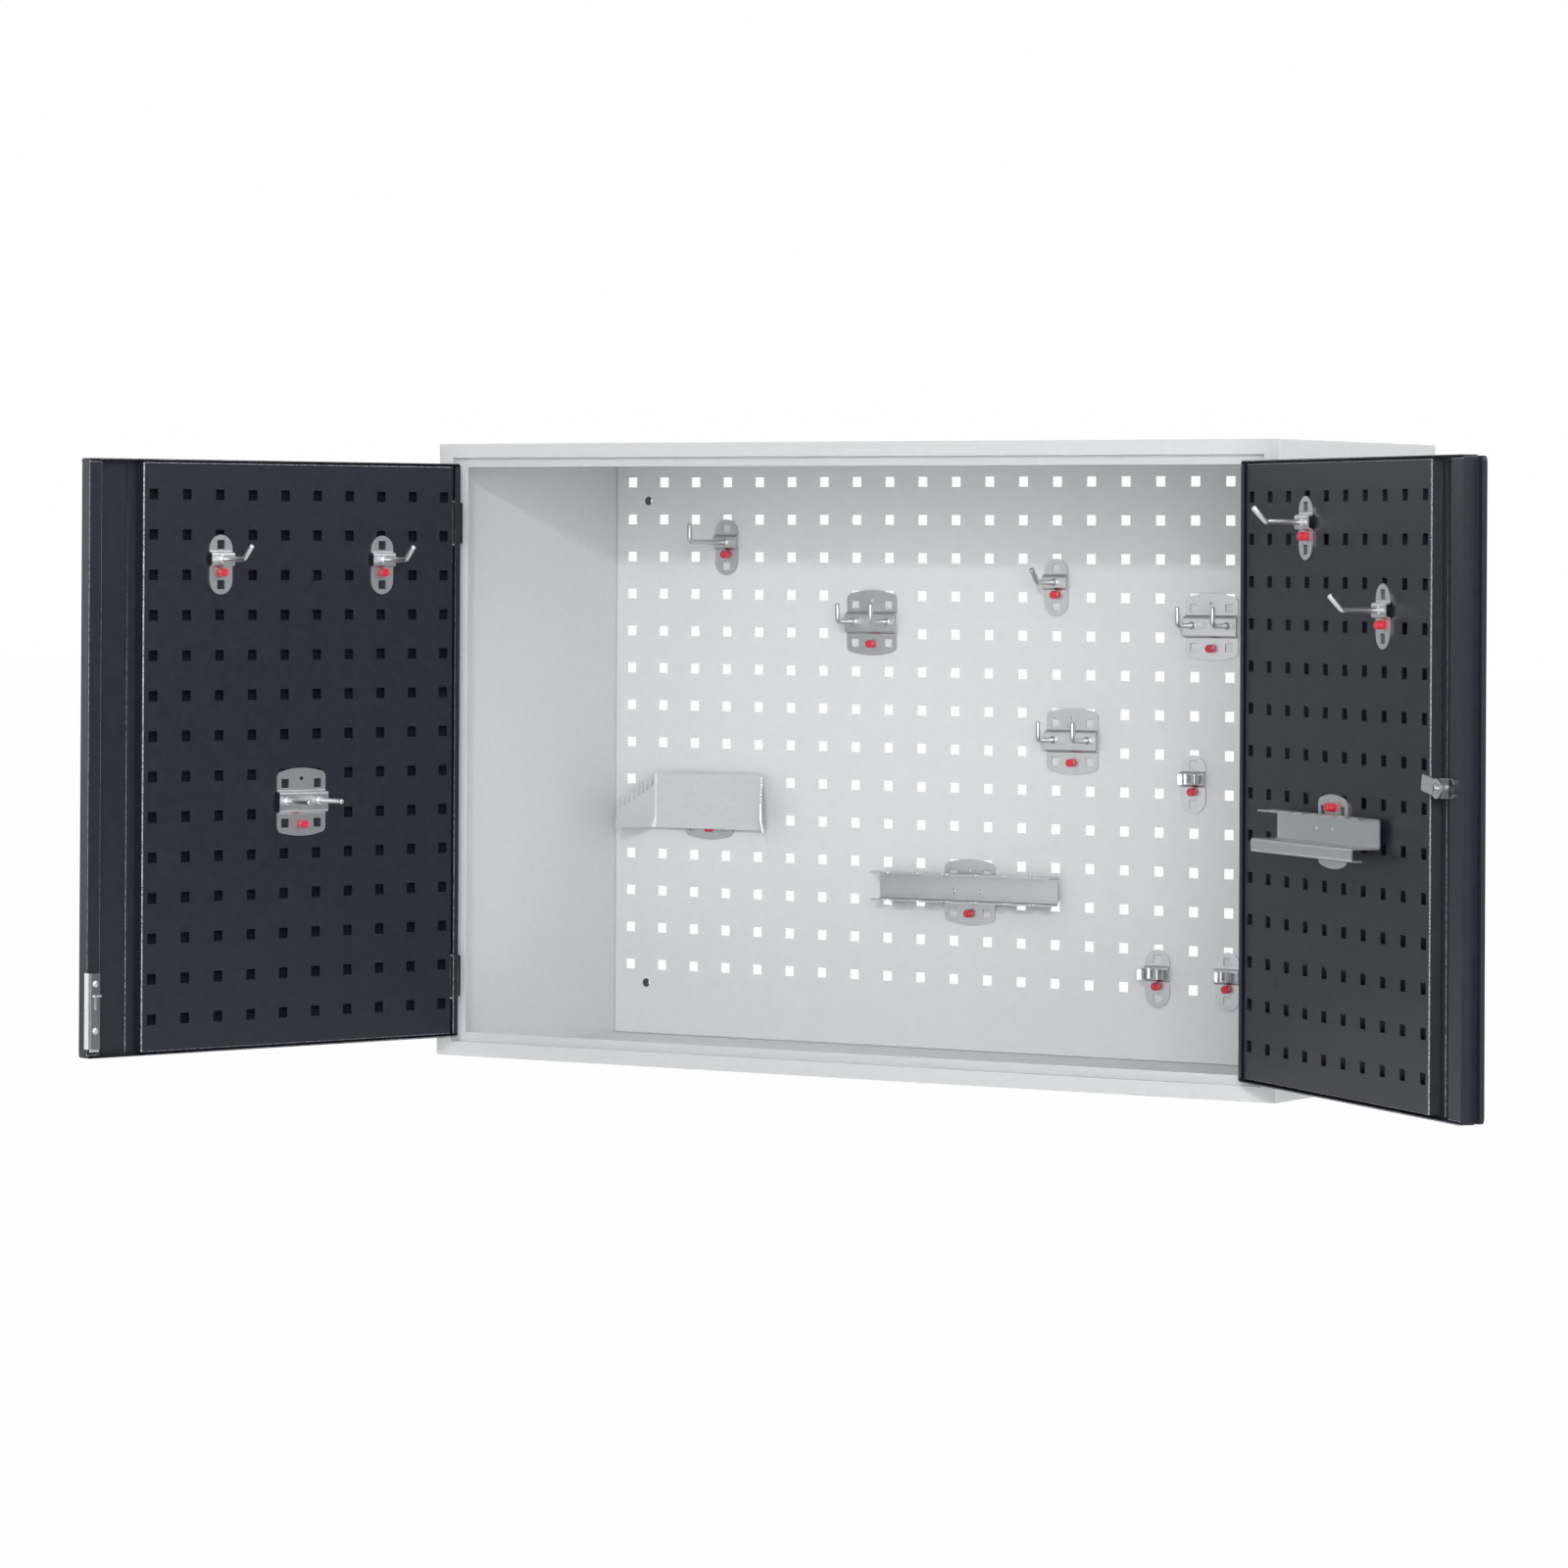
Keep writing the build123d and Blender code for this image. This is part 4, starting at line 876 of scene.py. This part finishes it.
def cam_metal(x, spot, v):
    """Round root and a straight arm turned ten degrees up, less the square for the plug."""
    turn = np.radians(170)
    z = spot[:, 1]
    out = x * np.cos(turn) + z * np.sin(turn)
    over = z * np.cos(turn) - x * np.sin(turn)
    arm = np.minimum(np.hypot(out, over) - 8.5, box_distance(out - 13.5, over, 13.5, 7.0, 1.8))
    return np.maximum(arm, -box_distance(out, over, 3.6, 3.6, 0.4))


def fork_metal(x, spot, v):
    """Plate of 10.7 by 18 mm with a slot open towards the free edge."""
    z = spot[:, 1]
    slot = box_distance(x + 15.65, z, 4.35, 4.0, 1.6)
    return np.maximum(box_distance(x + 17.65, z, 5.35, 9.0, 1.6), -slot)


barrel = swung(moved(threaded_barrel(), LOCK_X, 0, 0), "right")
# The barrel is in the grey zinc copy: painted shade over its thread.
mesh_piece("lock_barrel", barrel, grey_zinc_painted_shade, "right_lock_housing")
flat = np.column_stack([np.full(40, -322.0), np.linspace(-12.5, 12.5, 40)])
cam = punched(cam_metal, flat, -29.0, 9.0, 2.0, 0.4)
mesh_piece("lock_cam_arm", swung(moved(cam, LOCK_X, 0, 0), "right"), zinc, "lock_cam")
head = [(0, 2.1), (1.6, 2.1), (1.9, 2.5), (3.2, 2.35), (4.3, 1.8), (4.9, 1.0), (5.0, 0.3), (4.9, 0)]
screw = moved(turned(head + [(2.0, 0), (2.0, -7.7), (0, -7.7)], 32), LOCK_X, -321.0, 0)
# The screw and the forked plate are in the darkened nickel: painted shade round the cam.
mesh_piece("lock_cam_pan_screw", swung(screw, "right"), nickel_painted_shade, "lock_cam_screw")
fork_line = np.column_stack([np.full(30, -328.75), np.linspace(-9.0, 9.0, 30)])
fork = punched(fork_metal, fork_line, -23.0, -12.3, 1.5, 0.35)
mesh_piece("lock_fork_plate", swung(fork, "right"), nickel_painted_shade, "right_lock_plate")

# %% [markdown]
# ## Bolt of the left door
# The bolt slides in a folded bracket that is riveted to the turned edge of the door. The bracket
# is one bent blank with a narrow slot for the neck of the thumb tab and a wide one at its top.
# Its flange on the door is a part of its own in the paler zinc, painted light, while the cover is
# in the grey zinc, painted shade.

# %% Bolt bracket and rivets
BOLT_X = -6.5
BRACKET_FOLD = -325.2
BRACKET_ENDS = (-271.0, -200.0)
RIVET_HEIGHTS = (-253.7, -210.0)


def bracket_metal(z, spot, v):
    """Bent blank 71 mm high, less the slots for the tab and two rivet holes in its cover."""
    x = spot[:, 0] - BOLT_X
    slot = box_distance(x, z + 227.0, 1.5, 7.3, 0.3)
    holes = np.minimum(box_distance(x, z + 221.0, 4.6, 1.3, 0.3), slot)
    for height in RIVET_HEIGHTS:
        holes = np.minimum(holes, np.hypot(x, z - height) - 1.5)
    holes = np.where(spot[:, 1] > -325.0, holes, 9.0)
    return np.maximum(np.abs(z + 235.5) - 35.5, -holes)


folds = [(-0.7, BRACKET_FOLD), (-0.7, -323.5), (-12.3, -323.5), (-12.3, -329.5)]
bracket_line = rounded(folds, 1.4, 0.3)
bracket = upright(punched(bracket_metal, bracket_line, *BRACKET_ENDS, 1.0, 0.5))
mesh_piece("bolt_cover", swung(bracket, "left"), grey_zinc_painted_shade, "left_bolt_bracket")
flange_line = np.column_stack([np.full(16, -0.7), np.linspace(-332.2, BRACKET_FOLD, 16)])
flange = upright(punched(bracket_metal, flange_line, *BRACKET_ENDS, 1.0, 0.5))
mesh_piece("bolt_cover_flange", swung(flange, "left"), pale_zinc_painted_light, "left_bolt_bracket")
dome = [(0, 1.8), (1.3, 1.7), (2.4, 1.3), (3.2, 0.7), (3.5, 0), (1.5, 0), (1.5, -6.5), (0, -6.5)]
bolt_rivets = [moved(turned(dome, 28), BOLT_X, -323.0, height) for height in RIVET_HEIGHTS]
mesh_piece("bolt_rivet_heads", swung(joined(*bolt_rivets), "left"), zinc, "left_bolt_rivets")

# %% [markdown]
# ## Hinges and wall bushes
# Each hinge has a leaf on the frame with two knuckles, a leaf on the door with one, and a pin
# with a small head.

# %% Hinges and bushes
def about_z(shape):
    """Turn a piece made round the Y axis so that it stands round the Z axis."""
    return shape[0][:, [0, 2, 1]], shape[1]


def tube(inner, outer, low, high, sides=32):
    """Ring of a given bore and outside, with its outer corners taken off."""
    outline = [(inner, low), (outer - 0.3, low), (outer, low + 0.3), (outer, high - 0.3)]
    return turned(outline + [(outer - 0.3, high), (inner, high), (inner, low)], sides)


def frame_leaf_metal(z, spot, v):
    """Angled strip 40 mm high, cut back where the middle knuckle turns."""
    cut = np.maximum(np.abs(z) - 8.0, spot[:, 1] + 338.2)
    return np.maximum(np.abs(z) - 20.0, -cut)


def door_leaf_metal(y, spot, v):
    """Flat leaf 40 mm high, narrower but for a tongue that reaches the knuckle."""
    z = np.abs(spot[:, 1])
    return np.maximum(z - 20.0, np.minimum(-337.8 - y, z - 7.7))


def hinge_places(shape):
    """The shape at the upper and the lower hinge."""
    return joined(moved(shape, 0, 0, 222.0), moved(shape, 0, 0, -222.0))


def mirrored(shape):
    """The shape and its mirror image on the right."""
    return joined(shape, (shape[0] * (-1, 1, 1), shape[1]))


def knuckle(low, high):
    """One rolled knuckle of a left hinge, from low to high."""
    return moved(about_z(tube(2.05, 4.5, low, high)), -HINGE_X, DOOR_FRONT, 0)


corner_line = rounded([(-435.3, -327.6), (-441.1, -327.6), (-441.1, -343.0)], 1.5, 0.3)
frame_leaf = upright(punched(frame_leaf_metal, corner_line, -20.0, 20.0, 1.2, 0.6))
frame_hinge = mirrored(hinge_places(joined(frame_leaf, knuckle(8, 20), knuckle(-20, -8))))
mesh_piece("frame_hinges", frame_hinge, hinge_coat, "hinge_frame_leaves")
shank_rows = [(0, -20.0), (1.7, -20.0), (2.0, -19.6), (2.0, 20.0)]
head_rows = [(3.1, 20.0), (3.2, 20.3), (2.6, 20.9), (1.4, 21.2), (0, 21.2)]
hinge_pin = moved(about_z(turned(shank_rows + head_rows, 28)), -HINGE_X, DOOR_FRONT, 0)
mesh_piece("hinge_pin_rods", mirrored(hinge_places(hinge_pin)), zinc, "hinge_pins")
upright_line = np.column_stack([np.full(60, -436.6), np.linspace(-20, 20, 60)])
leaf = punched(door_leaf_metal, upright_line, -343.0, -330.5, 1.2, 0.5)
leaf = (leaf[0][:, [1, 0, 2]], leaf[1])
door_hinge = hinge_places(joined(leaf, knuckle(-7.7, 7.7)))
mesh_piece("left_door_hinges", swung(door_hinge, "left"), hinge_coat, "left_hinge_door_leaves")
mesh_piece("right_door_hinges", swung(door_hinge, "right"), hinge_coat, "right_hinge_door_leaves")
bush_ring = tube(4.5, 8.0, -11.0, 0.0, 40)
bushes = [moved(bush_ring, x, 0, z) for x in (-418, 418) for z in (-247, 247)]
mesh_piece("wall_bushes", joined(*bushes), bush, "wall_spacers")

# %% [markdown]
# ## Floor and air
# The cabinet hangs on a wall, so the floor lies well below it. To the camera and in reflections
# the floor and the air are plain white; to everything else they are a pale grey that bounces a
# little light.

# %% Floor and world
FLOOR_DROP = 1.3
FLOOR_HALF = 60.0
FLOOR_WHITENING = 0.985


def seen_directly(tree):
    """1 for camera, mirror and glass rays, 0 for the rays that carry light onto surfaces."""
    path = add(tree, "ShaderNodeLightPath")
    ends = [(0, path.outputs["Is Camera Ray"]), (1, path.outputs["Is Glossy Ray"])]
    either = add(tree, "ShaderNodeMath", ends, operation="MAXIMUM")
    ends = [(0, either.outputs[0]), (1, path.outputs["Is Transmission Ray"])]
    return add(tree, "ShaderNodeMath", ends, operation="MAXIMUM").outputs[0]


def white_stage_floor():
    """A flat floor: matt pale paint, whitened where it is seen, with a part of its shadow kept."""
    material, tree, shader = new_material("matt_white_floor", Roughness=0.9, IOR=1.45)
    shader.inputs["Base Color"].default_value = linear("#E9EAEA")
    glow = add(tree, "ShaderNodeEmission", [("Color", linear("#FFFFFF")), ("Strength", 1.0)])
    factors = [(0, seen_directly(tree)), (1, FLOOR_WHITENING)]
    share = add(tree, "ShaderNodeMath", factors, operation="MULTIPLY")
    sides = [(0, share.outputs[0]), (1, shader.outputs[0]), (2, glow.outputs[0])]
    mix = add(tree, "ShaderNodeMixShader", sides)
    tree.links.new(mix.outputs[0], tree.nodes["Material Output"].inputs["Surface"])
    corners = FLOOR_HALF * np.array([(-1, -1, 0), (1, -1, 0), (1, 1, 0), (-1, 1, 0)])
    mesh = bpy.data.meshes.new("stage_floor")
    mesh.from_pydata((corners - (0, 0, FLOOR_DROP)).tolist(), [], [(0, 1, 2, 3)])
    mesh.materials.append(material)
    placed("stage_floor", mesh)


white_stage_floor()
world = bpy.data.worlds.new("studio_air")
world.use_nodes = True
bpy.context.scene.world = world
AMBIENT = 0.43
air = world.node_tree
soft = add(air, "ShaderNodeBackground", [("Color", linear("#FFFFFF")), ("Strength", AMBIENT)])
white = add(air, "ShaderNodeBackground", [("Color", linear("#FFFFFF")), ("Strength", 1.0)])
pair = [(0, seen_directly(air)), (1, soft.outputs[0]), (2, white.outputs[0])]
mixed = add(air, "ShaderNodeMixShader", pair)
air.links.new(mixed.outputs[0], air.nodes["World Output"].inputs["Surface"])
print("floor at", -FLOOR_DROP, "air", AMBIENT)

# %% [markdown]
# ## Lamps
# A small lamp high on the right gives the crisp shadow of the roof inside the box, and a wider
# one below it keeps that shadow light. A lamp far to the left brightens the surfaces that face
# away from both, and one above the right end lights the roof and the right side. A card of light
# inside the box stands for a white reflector, and neither the camera nor a mirror sees it.

# %% Lamps
def stood(name, data, place, right, up, ahead):
    """Object at place whose own axes are right, up and the reverse of ahead."""
    pose = np.eye(4)
    pose[:3, :3] = np.column_stack((right, up, -ahead))
    pose[:3, 3] = place
    item = placed(name, data)
    item.matrix_world = Matrix(pose.tolist())
    return item


def lamp(name, place, aim, size, watts):
    """A square area lamp at place, turned so that it shines at aim."""
    data = bpy.data.lights.new(name, "AREA")
    data.size = size
    data.energy = watts
    toward = np.array(aim, float) - np.array(place, float)
    toward /= np.linalg.norm(toward)
    side = np.cross(toward, (0, 0, 1))
    side /= np.linalg.norm(side)
    return stood(name, data, place, side, np.cross(side, toward), toward)


lamp("key", (2.1, -5.2, 1.72), (0.0, -0.1, 0.0), 0.2, 68)
lamp("front", (3.1, -5.0, 0.7), (0.0, -0.1, 0.0), 1.5, 92)
lamp("side", (-5.0, -2.9, 0.8), (0.0, -0.1, 0.0), 2.5, 45)
lamp("right", (2.6, -0.6, 2.2), (0.2, -0.1, 0.0), 1.6, 34)
card = lamp("card_in_the_box", (-0.14, -0.3, 0.0), (-0.14, 0.0, 0.0), 0.5, 0.34)
card.visible_camera = False
card.visible_glossy = False
print("lamps", sorted(light.name for light in bpy.data.lights))

# %% [markdown]
# ## Camera
# A long lens looks from the right, level with the cabinet, and its picture is shifted like an
# architect's camera, so that verticals stay upright.

# %% Camera
IMAGE = 1600
FOCAL_PX = 6070.709
CENTRE_PX = (725.4865, 561.8101)
CAMERA_PLACE = (2.832196, -5.176101, 0.196475)
CAMERA_YAW = 0.5512
CAMERA_ROLL = -0.005


def make_camera():
    """Axes from the yaw and roll: right and up turned about the level line of sight."""
    right = np.array([np.cos(CAMERA_YAW), np.sin(CAMERA_YAW), 0])
    ahead = np.array([-np.sin(CAMERA_YAW), np.cos(CAMERA_YAW), 0])
    above = np.array([0, 0, 1.0])
    across = right * np.cos(CAMERA_ROLL) - above * np.sin(CAMERA_ROLL)
    upward = above * np.cos(CAMERA_ROLL) + right * np.sin(CAMERA_ROLL)
    data = bpy.data.cameras.new("camera")
    data.sensor_width = 36
    data.lens = FOCAL_PX / IMAGE * data.sensor_width
    data.shift_x = (IMAGE / 2 - CENTRE_PX[0]) / IMAGE
    data.shift_y = (CENTRE_PX[1] - IMAGE / 2) / IMAGE
    data.clip_end = 200
    return stood("camera", data, CAMERA_PLACE, across, upward, ahead)


bpy.context.scene.camera = make_camera()
bpy.context.scene.view_settings.view_transform = "Standard"
print("lens", bpy.context.scene.camera.data.lens)
